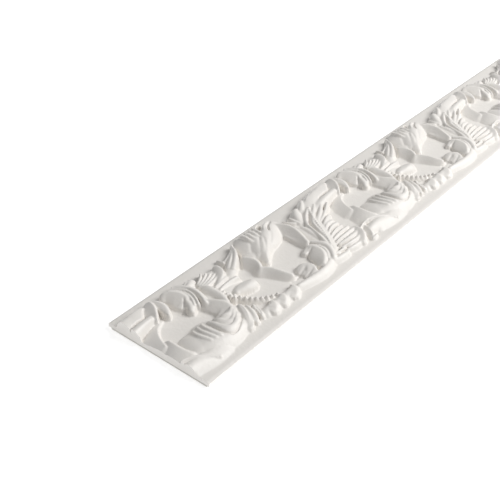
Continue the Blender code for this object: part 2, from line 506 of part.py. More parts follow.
def joined_rim(side, first, last):
    """Rim vertices of one side from first to last, in the order in which they are joined."""
    chain = [first]
    left = set(side)
    while chain[-1] != last:
        left.discard(chain[-1])
        joined = [edge.other_vert(chain[-1]) for edge in chain[-1].link_edges if edge.is_boundary]
        chain.append(next(vert for vert in joined if vert in left))
    return chain


def closed_strip(mesh, underside):
    """Trim the carved surface square on all four sides and close it down to a flat underside."""
    half_length = REPEAT_LENGTH * REPEATS / 2
    half_width = STRIP_WIDTH / 2
    body = bmesh.new()
    body.from_mesh(mesh)
    sides = (((half_length, 0, 0), (1, 0, 0)), ((-half_length, 0, 0), (-1, 0, 0)),
             ((0, half_width, 0), (0, 1, 0)), ((0, -half_width, 0), (0, -1, 0)))
    for point, outward in sides:
        everything = body.verts[:] + body.edges[:] + body.faces[:]
        bmesh.ops.bisect_plane(body, geom=everything, dist=1e-7, plane_co=point,
                               plane_no=outward, clear_outer=True)
    rim = [vert for vert in body.verts if vert.is_boundary]
    corners = [(half_length, half_width), (-half_length, half_width),
               (-half_length, -half_width), (half_length, -half_width)]
    low = [body.verts.new((x, y, underside)) for x, y in corners]
    body.faces.new(reversed(low))
    for index in range(4):
        start = corners[index]
        end = corners[(index + 1) % 4]
        axis = 0 if start[1] == end[1] else 1
        fixed = 1 - axis
        side = [vert for vert in rim if abs(vert.co[fixed] - start[fixed]) < 1e-6]
        side.sort(key=lambda vert: vert.co[axis], reverse=start[axis] < end[axis])
        chain = joined_rim(side, side[0], side[-1])
        for vert in chain:
            vert.co[fixed] = start[fixed]
        body.faces.new([low[index], low[(index + 1) % 4]] + chain)
    bmesh.ops.recalc_face_normals(body, faces=body.faces)
    bmesh.ops.triangulate(body, faces=[face for face in body.faces if len(face.verts) > 4])
    body.to_mesh(mesh)
    body.free()
    return mesh


def box_mesh(name, length, width, thickness):
    """Flat box centred on its own origin."""
    mesh = bpy.data.meshes.new(name)
    body = bmesh.new()
    bmesh.ops.create_cube(body, size=1)
    bmesh.ops.scale(body, vec=(length, width, thickness), verts=body.verts)
    body.to_mesh(mesh)
    body.free()
    return mesh


def plain_material(name, colour, roughness):
    """Principled material without metal."""
    material = bpy.data.materials.new(name)
    material.use_nodes = True
    shader = material.node_tree.nodes["Principled BSDF"]
    shader.inputs["Base Color"].default_value = colour
    shader.inputs["Roughness"].default_value = roughness
    shader.inputs["Metallic"].default_value = 0.0
    material.diffuse_color = colour
    return material


def add_piece(name, mesh, material, height=0.0):
    """Put a named piece into the scene at a height above the underside."""
    mesh.materials.clear()
    mesh.materials.append(material)
    piece = bpy.data.objects.new(name, mesh)
    piece.location = (0, 0, height)
    bpy.context.scene.collection.objects.link(piece)
    return piece


def build_moulding():
    """The cast strip with its carved scroll."""
    underside = LINER_THICKNESS + TAPE_THICKNESS + 2 * TOUCHING_GAP
    surface = thinned(strip_surface(carve_scroll(CARVING_STEP / MM)), TOP_TRIANGLES)
    mesh = closed_strip(surface, underside)
    mesh.shade_smooth()
    mesh.set_sharp_from_angle(angle=np.radians(SHARP_EDGE_DEGREES))
    return add_piece("moulding", mesh, plain_material("cast_moulding", MOULDING_COLOUR, 0.45))


def build_tape():
    """Double-sided foam tape under the strip, a little narrower than it."""
    length = REPEAT_LENGTH * REPEATS - 2 * TAPE_INSET_ENDS
    width = STRIP_WIDTH - 2 * TAPE_INSET_SIDES
    middle = LINER_THICKNESS + TOUCHING_GAP + TAPE_THICKNESS / 2
    mesh = box_mesh("adhesive_tape", length, width, TAPE_THICKNESS)
    return add_piece("adhesive_tape", mesh, plain_material("foam_tape", TAPE_COLOUR, 0.85), middle)


def build_liner():
    """Release liner that covers the tape until the strip is stuck on."""
    length = REPEAT_LENGTH * REPEATS - 2 * TAPE_INSET_ENDS
    width = STRIP_WIDTH - 2 * TAPE_INSET_SIDES
    mesh = box_mesh("release_liner", length, width, LINER_THICKNESS)
    material = plain_material("liner_film", LINER_COLOUR, 0.3)
    return add_piece("release_liner", mesh, material, LINER_THICKNESS / 2)


clear_scene()
build_moulding()
build_tape()
build_liner()
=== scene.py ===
"""Self-adhesive moulding: a flexible cast strip with a running acanthus scroll, taped at the back.

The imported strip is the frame: X runs along it, Y across it and Z up out of the relief, in metres.
The moulding's surface is carved here more finely than in its solid, from the same leaves, and is
laid over the same length, width and underside. Tape and liner keep their places under it.
"""

import bmesh
import bpy
import numpy as np
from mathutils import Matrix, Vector


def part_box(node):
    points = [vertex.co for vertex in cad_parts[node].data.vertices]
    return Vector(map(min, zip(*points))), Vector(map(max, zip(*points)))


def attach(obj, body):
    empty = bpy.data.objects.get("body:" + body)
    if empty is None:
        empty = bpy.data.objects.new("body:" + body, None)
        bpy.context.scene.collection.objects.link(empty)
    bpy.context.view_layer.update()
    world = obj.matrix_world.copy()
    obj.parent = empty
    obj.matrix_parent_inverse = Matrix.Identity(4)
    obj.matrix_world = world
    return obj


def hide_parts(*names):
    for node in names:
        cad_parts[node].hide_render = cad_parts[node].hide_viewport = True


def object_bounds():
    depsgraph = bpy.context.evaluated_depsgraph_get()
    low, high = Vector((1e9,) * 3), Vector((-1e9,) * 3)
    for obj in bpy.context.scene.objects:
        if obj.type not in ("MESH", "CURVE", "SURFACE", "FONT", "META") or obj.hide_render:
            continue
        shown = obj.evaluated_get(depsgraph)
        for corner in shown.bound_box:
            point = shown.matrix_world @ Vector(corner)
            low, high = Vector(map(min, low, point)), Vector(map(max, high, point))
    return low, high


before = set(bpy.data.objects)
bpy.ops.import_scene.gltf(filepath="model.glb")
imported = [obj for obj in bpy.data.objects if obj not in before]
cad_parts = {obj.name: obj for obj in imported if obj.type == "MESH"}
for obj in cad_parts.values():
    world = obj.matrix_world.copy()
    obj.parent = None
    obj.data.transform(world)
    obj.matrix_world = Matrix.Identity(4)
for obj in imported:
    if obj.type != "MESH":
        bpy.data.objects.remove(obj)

bl_info = {
    "name": "Self-adhesive moulding",
    "version": (1, 0, 0),
    "blender": (4, 5, 0),
    "location": "3D Viewport > Sidebar > Moulding",
    "description": "Carves and finishes a flexible strip moulding with an acanthus scroll",
    "category": "Object",
}

CAD_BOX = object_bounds()
STRIP_LOW, STRIP_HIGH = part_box("moulding")
TAPE_LOW, TAPE_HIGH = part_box("adhesive_tape")
LINER_LOW, LINER_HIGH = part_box("release_liner")

# Driving sizes of the strip, in metres
STRIP_WIDTH = STRIP_HIGH.y - STRIP_LOW.y
STRIP_LENGTH = STRIP_HIGH.x - STRIP_LOW.x
REPEATS = 3
REPEAT_LENGTH = STRIP_LENGTH / REPEATS
EDGE_HEIGHT = 0.0036
FLOOR_HEIGHT = 0.0042

# How the carving is meshed, in metres and triangles
CARVING_STEP = 0.0005
OVERLAP_AROUND = 0.002
TOP_TRIANGLES = 190000

# Sizes inside the carving are in millimetres above the underside and along one repeat
MM = 0.001
FLOOR = FLOOR_HEIGHT / MM
EDGE = EDGE_HEIGHT / MM
WIDTH = round(STRIP_WIDTH / MM, 3)
REPEAT = round(REPEAT_LENGTH / MM, 3)
EDGE_ROUND = 2.2
SOFTENING = 0.3
BLUR_SPREADS = 3
CREST_PIECES = 20
THINNEST_SIDE = 0.05
NEARLY_ZERO = 1e-6

# A rim's or a bead's foot lies this many of its half widths below its top
RIM_DROP = 1.2
BEAD_DROP = 1.3
# A rim's half width at its ends, as a share of its middle, and how long a bead is drawn
RIM_END = 0.7
BEAD_LENGTH = 0.1

# Edges sharper than this stay crisp in the shading
SHARP_EDGE_DEGREES = 55.0

# How near a point counts as lying on a cut or on a side, in metres
CUT_TOLERANCE = 1e-7
SIDE_TOLERANCE = 1e-6

# How the tape was slit: its long sides wander by this much over this length, in metres
TAPE_WAVE = 0.00015
WAVE_LENGTH = 0.13
SHEET_STATIONS = 97

# Table top and lights, in metres
FLOOR_SIZE = 12.0
FLOOR_CLEARANCE = 0.0001
KEY_PLACE = Vector((0.62, -0.72, 0.95))
KEY_AIM = Vector((-0.05, 0.0, 0.0))
KEY_WIDTH = 1.0
KEY_DEPTH = 0.7
SKY_COLOUR = "#fdfeff"

# Widths of the patterns in the materials and depths of their bumps, in millimetres. The real
# tooth, foam cells and paper fibres are finer, and are drawn this coarse so that they show.
PIGMENT_PATCH = 22
SHEEN_PATCH = 6
DIMPLE_WIDTH = 2.4
DIMPLE_DEPTH = 0.12
TOOTH_WIDTH = 0.6
TOOTH_DEPTH = 0.02
FOAM_CELL = 0.4
FOAM_CELL_DEPTH = 0.1
FIBRE_WIDTH = 0.9
COCKLE_WIDTH = 12
COCKLE_DEPTH = 0.3
TABLE_GRAIN = 1

# Sockets of a node that mixes two colours, by place, since their names aren't unique
MIX_SHARE = 0
MIX_FIRST = 6
MIX_SECOND = 7
MIX_RESULT = 2

# Camera: its place, the point that it looks at, and its lens on a 36 mm wide sensor
CAMERA_PLACE = Vector((-0.5407, -0.2906, 0.3574))
CAMERA_AIM = Vector((-0.1617, 0.0263, 0.0))
SENSOR_WIDTH = 36.0
FOCAL_LENGTH = 66.1


def through_three(values, share):
    """Smooth value at a share of the way through a start, middle and end value."""
    start, middle, end = values
    at_start = (1 - share) * (1 - 2 * share)
    at_middle = 4 * share * (1 - share)
    at_end = share * (2 * share - 1)
    return start * at_start + middle * at_middle + end * at_end


def bowed_line(start, end, bow, pieces=CREST_PIECES):
    """Points along a line that bends to its left by bow at one third and at two thirds."""
    start = np.array(start, dtype=float)
    end = np.array(end, dtype=float)
    chord = end - start
    sideways = np.array((-chord[1], chord[0])) / np.hypot(chord[0], chord[1])
    first = start + chord / 3 + sideways * (3 * bow[0] - 1.5 * bow[1])
    second = start + chord * 2 / 3 + sideways * (3 * bow[1] - 1.5 * bow[0])
    share = np.linspace(0, 1, pieces + 1)[:, None]
    rest = 1 - share
    bend = 3 * rest ** 2 * share * first + 3 * rest * share ** 2 * second
    return rest ** 3 * start + bend + share ** 3 * end


class Relief:
    """Heights of one repeat of the carving, on an even grid that joins end to end."""

    def __init__(self, step):
        self.step = step
        self.columns = round(REPEAT / step)
        self.rows = round(WIDTH / step) + 1
        across = np.arange(self.rows) * step
        from_edge = np.minimum(across, WIDTH - across)
        turned = np.clip(from_edge / EDGE_ROUND, 0, 1)
        profile = EDGE + (FLOOR - EDGE) * np.sin(turned * np.pi / 2)
        self.height = np.repeat(profile[:, None], self.columns, axis=1)

    def window(self, line, reach):
        """Rows, columns and positions of the grid points within reach of a line."""
        low = line.min(axis=0) - reach
        high = line.max(axis=0) + reach
        columns = np.arange(int(low[0] // self.step), int(high[0] // self.step) + 2)
        first_row = max(0, int(low[1] // self.step))
        last_row = min(self.rows - 1, int(high[1] // self.step) + 1)
        rows = np.arange(first_row, last_row + 1)
        along, across = np.meshgrid(columns * self.step, rows * self.step)
        return rows, columns % self.columns, along, across

    def leaf(self, start, end, crest, left, right, bow=(0, 0), feet=(FLOOR, FLOOR),
             swell=(0.4, 0.4), adds=False):
        """Lay one leaf, ridge or groove on the relief.

        Its crest runs from start to end at the three crest heights. Its sides fall away over the
        left and right widths to the heights in feet. Swell 0 makes a side straight, 1 makes it
        round, and less than 0 makes it hollow. A leaf that adds is laid on top of what is there.
        """
        line = bowed_line(start, end, bow)
        rows, columns, along, across = self.window(line, max(max(left), max(right)))
        lengths = np.hypot(*np.diff(line, axis=0).T)
        run = np.concatenate(((0,), np.cumsum(lengths)))
        nearest = np.full(along.shape, np.inf)
        share = np.zeros(along.shape)
        lean = np.zeros(along.shape)
        for index, length in enumerate(lengths):
            step_x, step_y = (line[index + 1] - line[index]) / length
            from_x = along - line[index, 0]
            from_y = across - line[index, 1]
            travelled = np.clip(from_x * step_x + from_y * step_y, 0, length)
            off_x = from_x - travelled * step_x
            off_y = from_y - travelled * step_y
            distance = np.hypot(off_x, off_y)
            closer = distance < nearest
            nearest = np.where(closer, distance, nearest)
            share = np.where(closer, (run[index] + travelled) / run[-1], share)
            lean = np.where(closer, step_x * off_y - step_y * off_x, lean)
        leftness = 0.5 + 0.5 * np.clip(lean / np.maximum(nearest, NEARLY_ZERO), -1, 1)
        left_width = through_three(left, share)
        right_width = through_three(right, share)
        width = right_width + (left_width - right_width) * leftness
        width = np.maximum(width, THINNEST_SIDE)
        foot = feet[1] + (feet[0] - feet[1]) * leftness
        roundness = swell[1] + (swell[0] - swell[1]) * leftness
        out = nearest / width
        rise = (through_three(crest, share) - foot) * (1 - out) * (1 + roundness * out)
        patch = np.ix_(rows, columns)
        before = self.height[patch]
        if adds:
            after = before + rise
        else:
            after = np.maximum(before, foot + rise)
        self.height[patch] = np.where(out < 1, after, before)

    def rim(self, start, end, tops, size, bow=(0, 0)):
        """Raise a thin rounded rim of the three tops, with the given half width."""
        foot = min(tops) - RIM_DROP * size
        sides = (RIM_END * size, size, RIM_END * size)
        self.leaf(start, end, tops, sides, sides, bow, feet=(foot, foot), swell=(1, 1))

    def groove(self, start, end, depth, width, bow=(0, 0)):
        """Cut a groove of the three depths, with the given half width."""
        cut = tuple(-value for value in depth)
        sides = (width, width, width)
        self.leaf(start, end, cut, sides, sides, bow, feet=(0, 0), swell=(0.6, 0.6), adds=True)

    def beads(self, start, end, bow, count, sizes, tops):
        """String round beads along a line; radius and top run from the first to the last."""
        line = bowed_line(start, end, bow, count - 1)
        for number, centre in enumerate(line):
            share = number / (count - 1)
            size = sizes[0] + (sizes[1] - sizes[0]) * share
            top = tops[0] + (tops[1] - tops[0]) * share
            sides = (size, size, size)
            foot = top - BEAD_DROP * size
            nose = centre + (BEAD_LENGTH, 0)
            self.leaf(centre, nose, (top, top, top), sides, sides, feet=(foot, foot), swell=(1, 1))

    def soften(self, spread):
        """Blur the carving a little, as a worn mould does."""
        reach = int(np.ceil(BLUR_SPREADS * spread / self.step))
        offsets = np.arange(-reach, reach + 1)
        weights = np.exp(-0.5 * (offsets * self.step / spread) ** 2)
        weights = weights / weights.sum()
        sideways = sum(weight * np.roll(self.height, offset, axis=1)
                       for weight, offset in zip(weights, offsets))
        padded = np.pad(sideways, ((reach, reach), (0, 0)), mode="edge")
        self.height = sum(weight * padded[offset + reach:offset + reach + self.rows]
                          for weight, offset in zip(weights, offsets))


def carve_plume(relief):
    """Long plume leaf that runs over the top into the next ring, with its ribbed stem."""
    # Bed under the leaf, then the upper lobe and the lower band of its rolled end
    relief.leaf((150, 50), (175, 60), (7.4, 8.6, 8.6), (5, 7, 7), (3, 6, 6),
                bow=(1, 1), feet=(5.4, 5.4), swell=(0.8, 0.8))
    relief.leaf((165, 62), (194, 67.4), (9, 11, 10), (4, 5.6, 4.6), (5, 6, 5.4),
                bow=(0.8, 1.6), feet=(5.4, 9.4), swell=(1, 0.8))
    relief.leaf((184, 67), (201.6, 70.2), (10, 10.6, 9.4), (2.6, 3, 1.6), (3, 6.4, 1.8),
                bow=(0.4, 0.4), feet=(6, 9.4), swell=(1, 0.9))
    relief.leaf((166, 53), (198.5, 58.6), (8.5, 10.2, 9.8), (2.5, 3.4, 3), (2.4, 3.8, 2.6),
                bow=(1.2, 1.2), feet=(9.2, 6), swell=(1, 0.9))
    relief.groove((182, 52), (202, 57), (0.8, 1.2, 0.6), 0.9, bow=(0.6, 0.6))
    # Rounded teeth along its upper side, the lowest one first
    relief.leaf((149, 55.5), (145, 63.5), (8.5, 8.8, 8), (1.8, 2.2, 1.4), (1.5, 2, 1.2),
                bow=(0.4, 0.4), feet=(5.5, 5), swell=(0.8, 0.8))
    relief.leaf((151, 53), (151.4, 62.4), (8.8, 9, 8.5), (1.6, 2.4, 1.8), (1.8, 2.4, 1.6),
                bow=(0.6, 0.6), feet=(6, 5.5), swell=(0.8, 0.8))
    relief.leaf((152.6, 53.6), (161.4, 65), (8.8, 10, 9.4), (3.6, 4.6, 2.6), (3, 4, 2.6),
                bow=(1, 1), feet=(5.8, 8), swell=(1, 0.9))
    relief.leaf((162, 61.5), (172, 68.6), (9, 10.8, 9.6), (3, 3.6, 2.4), (2.8, 3, 2.4),
                bow=(-0.6, -0.6), feet=(5.5, 8.6), swell=(0.9, 0.9))
    relief.leaf((171, 64.5), (182.5, 69.4), (9.5, 11, 9.8), (3, 3.4, 2.8), (3, 3, 2.6),
                bow=(-0.4, -0.4), feet=(5.5, 9.2), swell=(0.9, 0.9))
    # Ribs of the stem, from the inner one outwards
    relief.leaf((143, 20), (163, 50), (8, 9, 9), (5, 6.5, 6), (4, 5, 5),
                bow=(-0.6, 0), feet=(5.6, 5.6), swell=(1, 1))
    relief.leaf((139, 17.5), (152, 47.5), (8.5, 9.6, 9.4), (1.6, 1.8, 1.4), (1.4, 1.6, 1.3),
                bow=(-1.2, -0.8), feet=(7.4, 8.6), swell=(0.9, 0.9))
    relief.leaf((152, 47), (169, 60), (9.4, 9.8, 9.8), (1.6, 1.8, 1.6), (1.4, 1.6, 1.6),
                bow=(1.4, 1), feet=(8.4, 8.6), swell=(0.9, 0.9))
    relief.leaf((141.5, 17), (157, 46), (8.5, 9.4, 9.4), (1.2, 1.4, 1.4), (1.5, 1.8, 1.5),
                bow=(-0.8, 0), feet=(8.6, 7), swell=(0.9, 0.9))
    relief.leaf((156.5, 45.5), (174, 58.5), (9.4, 10, 10), (1.6, 1.8, 1.8), (1.5, 1.9, 1.9),
                bow=(0.8, 0.4), feet=(8.6, 8.6), swell=(0.9, 0.9))
    relief.leaf((159, 45), (179, 56.5), (8.8, 9.8, 9.8), (1.5, 1.8, 1.6), (1.5, 1.9, 1.6),
                bow=(-0.6, -0.8), feet=(8.4, 8.4), swell=(0.9, 0.9))
    relief.leaf((161, 43.5), (183, 53.5), (8.2, 9.4, 9.4), (1.5, 1.8, 1.5), (1.5, 1.8, 1.6),
                bow=(-0.9, -0.8), feet=(8.2, 5.6), swell=(0.9, 0.9))
    relief.beads((141.5, 20), (168, 58.5), (-1, 0.4), 21, (0.8, 1.2), (9.9, 10.6))
    # Bed and small leaflet that fill the corner between the stem and ring B
    relief.leaf((147, 52), (142.6, 31), (7.2, 7.6, 7.2), (4, 5, 4), (4, 5, 3),
                bow=(0.6, 0.6), feet=(6, 6), swell=(0.8, 0.8))
    relief.leaf((148.4, 49), (145.6, 34), (8.2, 8.8, 8), (2, 2.8, 2.2), (2, 2.8, 2),
                bow=(0.6, 0.6), feet=(7.6, 6.8), swell=(0.9, 0.9))


def carve_shell_fan(relief):
    """Fan of petals on the right of the stem, with its turned-up outer rim."""
    # Bed under the fan, and the longer petal at its top
    relief.leaf((151, 26), (162, 27), (7, 7.4, 7), (9, 10, 8), (10, 12, 9),
                feet=(5.4, 5), swell=(0.9, 0.9))
    relief.leaf((158, 38.5), (171, 43.4), (8, 9.6, 9.2), (1.4, 2.2, 2.2), (2, 3, 2.6),
                bow=(0.6, 0.6), feet=(6, 6.8), swell=(0.9, 0.9))
    petals = 7
    for number in range(petals):
        share = number / (petals - 1)
        plump = 1.8 + 0.3 * np.cos(2.5 * np.pi * share)
        root = (155.5 - 8 * share, 34.5 - 18.5 * share)
        reach = 1.4 * np.cos(3 * np.pi * share)
        tip = (166.8 + 2.6 * np.sin(np.pi * share) + reach, 38.6 - 24.2 * share)
        relief.leaf(root, tip, (8, 8.9, 8.2), (0.8, plump, plump + 0.2), (0.8, plump, plump),
                    bow=(1.4 - 2.4 * share, 1.4 - 2.4 * share), feet=(6.8, 6.6), swell=(1, 1))
    # Petal along the low border, and the outer rim
    relief.leaf((149, 11.8), (163.5, 10.6), (7.2, 7.8, 7.4), (1.5, 2.2, 2), (1.5, 2.4, 2.2),
                bow=(-0.5, -0.5), feet=(6, FLOOR), swell=(0.9, 0.9))
    relief.leaf((172, 22), (164, 9.4), (8.6, 9, 8), (1.8, 2.4, 2), (3, 4.6, 3.6),
                bow=(2.2, 1.8), feet=(6.4, 7.2), swell=(1, 0.4))


def carve_heel(relief):
    """Curled leaf at the low border that starts the next ring."""
    # Its dark hollow side and the turned lip that ends it below
    relief.leaf((172.5, 8.5), (177.6, 18.2), (6.6, 7.8, 8), (2, 4, 3.4), (1.6, 2, 2.4),
                bow=(-1.2, -1), feet=(5, 5.4), swell=(0, 0.9))
    relief.leaf((171, 7.4), (176.5, 7.6), (6.4, 6.8, 6.8), (1.2, 1.6, 1.4), (1.2, 1.5, 1.2),
                bow=(-0.6, -0.4), swell=(0.9, 0.9))
    # Body, and the thin ribbon that runs over it on to the fat leaf
    relief.leaf((179, 14.5), (199, 14), (8.4, 9, 8), (3.6, 4, 3.6), (4.8, 6.6, 8),
                bow=(0.6, 0.6), feet=(6.4, FLOOR), swell=(0.9, 1))
    relief.leaf((173, 19), (203, 8.6), (7.8, 9.9, 6.8), (1, 1.3, 1), (1.1, 1.5, 1.4),
                bow=(4.6, 3.6), feet=(5.8, 7.6), swell=(0.9, 0.9))


def carve_ring_a(relief):
    """First ring: crescent, fat fluted leaf, spoon, disc with a bean, curls and ridges."""
    # Two lobes of the crescent on the left, each with a bright rounded rim
    relief.leaf((19, 55), (3.8, 36.4), (5.6, 7.1, 8.4), (1, 1.2, 1.4), (4.5, 9, 8.5),
                bow=(-3, -2.5), feet=(5.4, FLOOR), swell=(1, 0.2))
    relief.leaf((7.2, 36.4), (8.2, 21.4), (9, 9.6, 8.8), (2, 2.6, 2), (7, 11, 10),
                bow=(-0.9, -1.1), feet=(7.8, FLOOR), swell=(1, 0.2))
    # Fat leaf along the bottom
    relief.leaf((17, 20.5), (44, 17), (9.2, 10.6, 9.8), (16, 20, 14), (7, 9.8, 7.5),
                bow=(-1, -1), feet=(4.8, FLOOR), swell=(1, 1))
    relief.leaf((39, 26), (52.4, 29.4), (9.6, 10, 9.6), (6, 3.6, 2.4), (14, 14, 8),
                bow=(-0.6, -0.6), feet=(6.8, FLOOR), swell=(1, 1))
    relief.leaf((2, 13), (26, 14.4), (7.4, 7.8, 8.4), (4, 5, 5), (6, 8.4, 8.6),
                feet=(6, FLOOR), swell=(1, 0.5))
    carve_flutes(relief)
    # Spoon-shaped hollow leaf at the right of the ring
    relief.leaf((48.2, 45), (53.4, 31.6), (10, 10.4, 10), (2, 2.4, 2), (4.8, 8.4, 12.5),
                bow=(0.6, 1.4), feet=(8.6, 5.6), swell=(1, -0.1))
    # Disc with a turned rim, and the bean below it
    relief.leaf((36.4, 68.6), (42, 57.4), (9.8, 10.8, 10.4), (2.4, 3, 2.6), (5, 8.2, 8.8),
                bow=(1.3, 1.3), feet=(9, 6.2), swell=(1, 0))
    relief.leaf((40, 54.4), (37, 47.6), (9.8, 9.2, 8.4), (3.6, 4.4, 3), (2, 2.8, 1.8),
                bow=(0.8, 0.8), feet=(6.6, 6.8), swell=(1, 0.8))
    relief.groove((32.6, 51.4), (40.6, 56.8), (0.4, 1, 1), 0.65, bow=(-0.6, -0.6))
    # Curls between the plume's end and the disc
    relief.leaf((24.6, 69.8), (17.6, 57.2), (9.8, 11.2, 9.8), (1.4, 1.8, 1.4), (4, 9.4, 3),
                bow=(0.8, 0.8), feet=(8.6, 7), swell=(1, -0.1))
    relief.leaf((26.4, 69.4), (25, 54.4), (9.6, 10.4, 9.2), (2, 3, 1.4), (2, 4, 1.8),
                bow=(1.7, 1.7), feet=(8.4, 8.4), swell=(0.8, 0.6))
    # Ridges between the disc and the calyx
    relief.leaf((40.4, 70), (41, 48.6), (8, 10, 9.2), (1.4, 1.8, 1.4), (1, 1.2, 1),
                bow=(3.3, 3.5), feet=(8, 7.8), swell=(1, 1))
    relief.leaf((42.6, 70), (43, 47.2), (7.8, 10.3, 9.4), (1.4, 1.9, 1.5), (1.1, 1.2, 1.1),
                bow=(3.8, 3.5), feet=(8, 7.8), swell=(1, 1))
    relief.leaf((45, 69.6), (46.4, 44.8), (8, 11, 10.2), (2.8, 3.8, 2.8), (1.2, 1.5, 1.4),
                bow=(3.4, 3), feet=(8.4, 8), swell=(1, 1))


def carve_flutes(relief):
    """Reeds over the fat leaf: three short ones, then four shells nested under the spoon."""
    for start, end, lift in (((24, 34.5), (22.6, 18.5), 0.9),
                             ((27.8, 34.5), (26, 17.5), 1),
                             ((31, 34), (29.4, 16.5), 1.1)):
        relief.leaf(start, end, (lift, lift, 0.6 * lift), (1.2, 1.5, 1.2), (1.2, 1.5, 1.2),
                    bow=(-1.6, -1.4), feet=(0, 0), swell=(1, 1), adds=True)
    relief.groove((33, 31.4), (51.6, 20.4), (0.8, 1.7, 1.4), 0.9, bow=(-12.8, -12.2))
    shells = 3
    for number in range(shells):
        share = number / (shells - 1)
        start = (35.6 + 7 * share, 31.6 - share)
        end = (51.6 + 0.6 * share, 23 + 6 * share)
        sag = -10.5 + 7.1 * share
        lift = 1.3 - 0.3 * share
        outer = 3.4 - 1 * share
        relief.leaf(start, end, (lift, lift, 0.7 * lift), (1.1, 1.4, 1.1),
                    (0.7 * outer, outer, 0.7 * outer), bow=(sag, 0.9 * sag), feet=(0, 0),
                    swell=(1, 0.7), adds=True)


def carve_calyx(relief):
    """Bud between the rings, its blades to the right, falling leaves and two bead strings."""
    relief.leaf((55, 45), (74, 48), (7.6, 7.6, 7), (12, 14, 8), (12, 11, 7),
                feet=(5.4, 5), swell=(0.9, 0.9))
    relief.leaf((57.4, 54.4), (54.2, 33.4), (9.4, 10.2, 9.6), (2.4, 3, 2.2), (3, 4.2, 2.2),
                bow=(1.6, 1.8), feet=(8.2, 7.4), swell=(1, 0.6))
    relief.leaf((55.5, 58), (59.5, 48.5), (9, 10, 9.6), (1.4, 1.8, 1.4), (1.2, 1.6, 1.4),
                bow=(1, 1), feet=(7.6, 7.6), swell=(0.9, 0.9))
    # Blades that fan out to the right, the top one first
    relief.leaf((57, 59), (72, 62.5), (7, 7.4, 7), (4.5, 5.5, 5), (4, 5, 4),
                feet=(5, 6), swell=(0.9, 0.9))
    relief.leaf((50.8, 64), (56.4, 65.6), (8.8, 9.4, 9), (3.6, 5, 4), (3, 4.4, 3.6),
                feet=(6.4, 6.4), swell=(1, 1))
    relief.groove((51, 65.6), (57, 67.2), (0.5, 0.8, 0.4), 1)
    ribs = 5
    for number in range(ribs):
        share = number / (ribs - 1)
        root = (57 + 0.8 * share, 61 - 6 * share)
        tip = (66.5 + 10 * share - 3.5 * share ** 2, 67.2 - 9.2 * share)
        relief.leaf(root, tip, (8.6, 9.2, 8.2), (0.9, 1.15, 0.9), (0.9, 1.15, 0.9),
                    bow=(-0.9, -0.9), feet=(7.7, 7.7), swell=(1, 1))
    relief.leaf((65, 51), (78.6, 63.8), (8.8, 9.8, 9), (2.5, 6, 3.6), (1.4, 1.9, 1.8),
                bow=(-2.8, -3.4), feet=(6.6, 6.6), swell=(0.8, 0.9))
    relief.leaf((62.5, 50.8), (74.5, 52.4), (8.8, 9.2, 8.4), (1.2, 1.8, 1.4), (1.2, 1.6, 1.3),
                bow=(-0.6, -0.6), feet=(7, 7), swell=(0.9, 0.9))
    relief.leaf((62, 46.4), (78.4, 47), (8.8, 9.2, 8.8), (1.2, 2.2, 2.4), (1.2, 1.8, 2),
                bow=(0.3, 0.3), feet=(7, 6.8), swell=(0.9, 0.9))
    relief.leaf((68, 37.6), (80, 36.4), (8.8, 9.6, 9.4), (3.6, 5.4, 5.2), (2.8, 4.6, 4.8),
                bow=(0.5, 0.3), feet=(6.4, 5.8), swell=(1, 1))
    relief.groove((68, 38), (78, 38.4), (0.3, 0.5, 0.2), 2.4)
    # Leaves falling to the low border
    relief.leaf((57.4, 26.8), (49, 12), (9.8, 9.2, 7.4), (2.6, 3.4, 2.8), (3, 3.8, 3.2),
                bow=(0.8, 0.8), feet=(7.4, 6), swell=(0.9, 1))
    relief.rim((57.8, 26.4), (51.4, 14), (10.2, 9.9, 8.2), 1, bow=(0.9, 0.9))
    relief.leaf((60.2, 24), (55.2, 12), (9.4, 8.9, 7.4), (1.6, 2.4, 2), (1.4, 2, 1.6),
                bow=(0.9, 0.9), feet=(6.8, 7.4), swell=(1, 1))
    relief.leaf((63.4, 21.8), (61.4, 12.4), (9, 8.8, 7.4), (1.6, 2.1, 1.7), (1.4, 1.9, 1.5),
                bow=(0.5, 0.5), feet=(5.6, 7), swell=(0.9, 1))
    relief.groove((63.2, 19.6), (61.8, 14), (1, 1.4, 0.8), 0.8, bow=(0.3, 0.3))
    # Strings of round beads on their cords
    relief.leaf((62.4, 39), (82.6, 17.8), (7.6, 7, 6), (2.2, 2.4, 2), (2.2, 2.4, 2),
                bow=(-3.8, -3.8), feet=(5.4, 5.2), swell=(0.9, 0.9))
    relief.beads((62.4, 39.4), (82.4, 17.8), (-3.8, -3.8), 10, (1.7, 1.4), (9.7, 8.5))
    relief.beads((61.2, 43), (61.4, 34), (-0.3, -0.3), 4, (1.25, 1.45), (10, 10.2))


def carve_low_petals(relief):
    """Three shell petals along the low border, each one lapping over the next."""
    relief.leaf((66, 13.8), (93, 13.4), (7.2, 7.6, 7.6), (3.6, 4.4, 3.8), (4.8, 5.4, 4.8),
                feet=(4.8, FLOOR), swell=(1, 1))
    for right_end, reach in ((74.4, 6.5), (83.4, 6), (94.6, 8.5)):
        relief.leaf((right_end, 16), (right_end - 3.6, 10), (8, 8.4, 7.6), (2.6, 3.2, 2.8),
                    (1.5, reach, reach - 2.5), bow=(0.9, 0.9), feet=(5.4, 7.2),
                    swell=(1, 0.6))


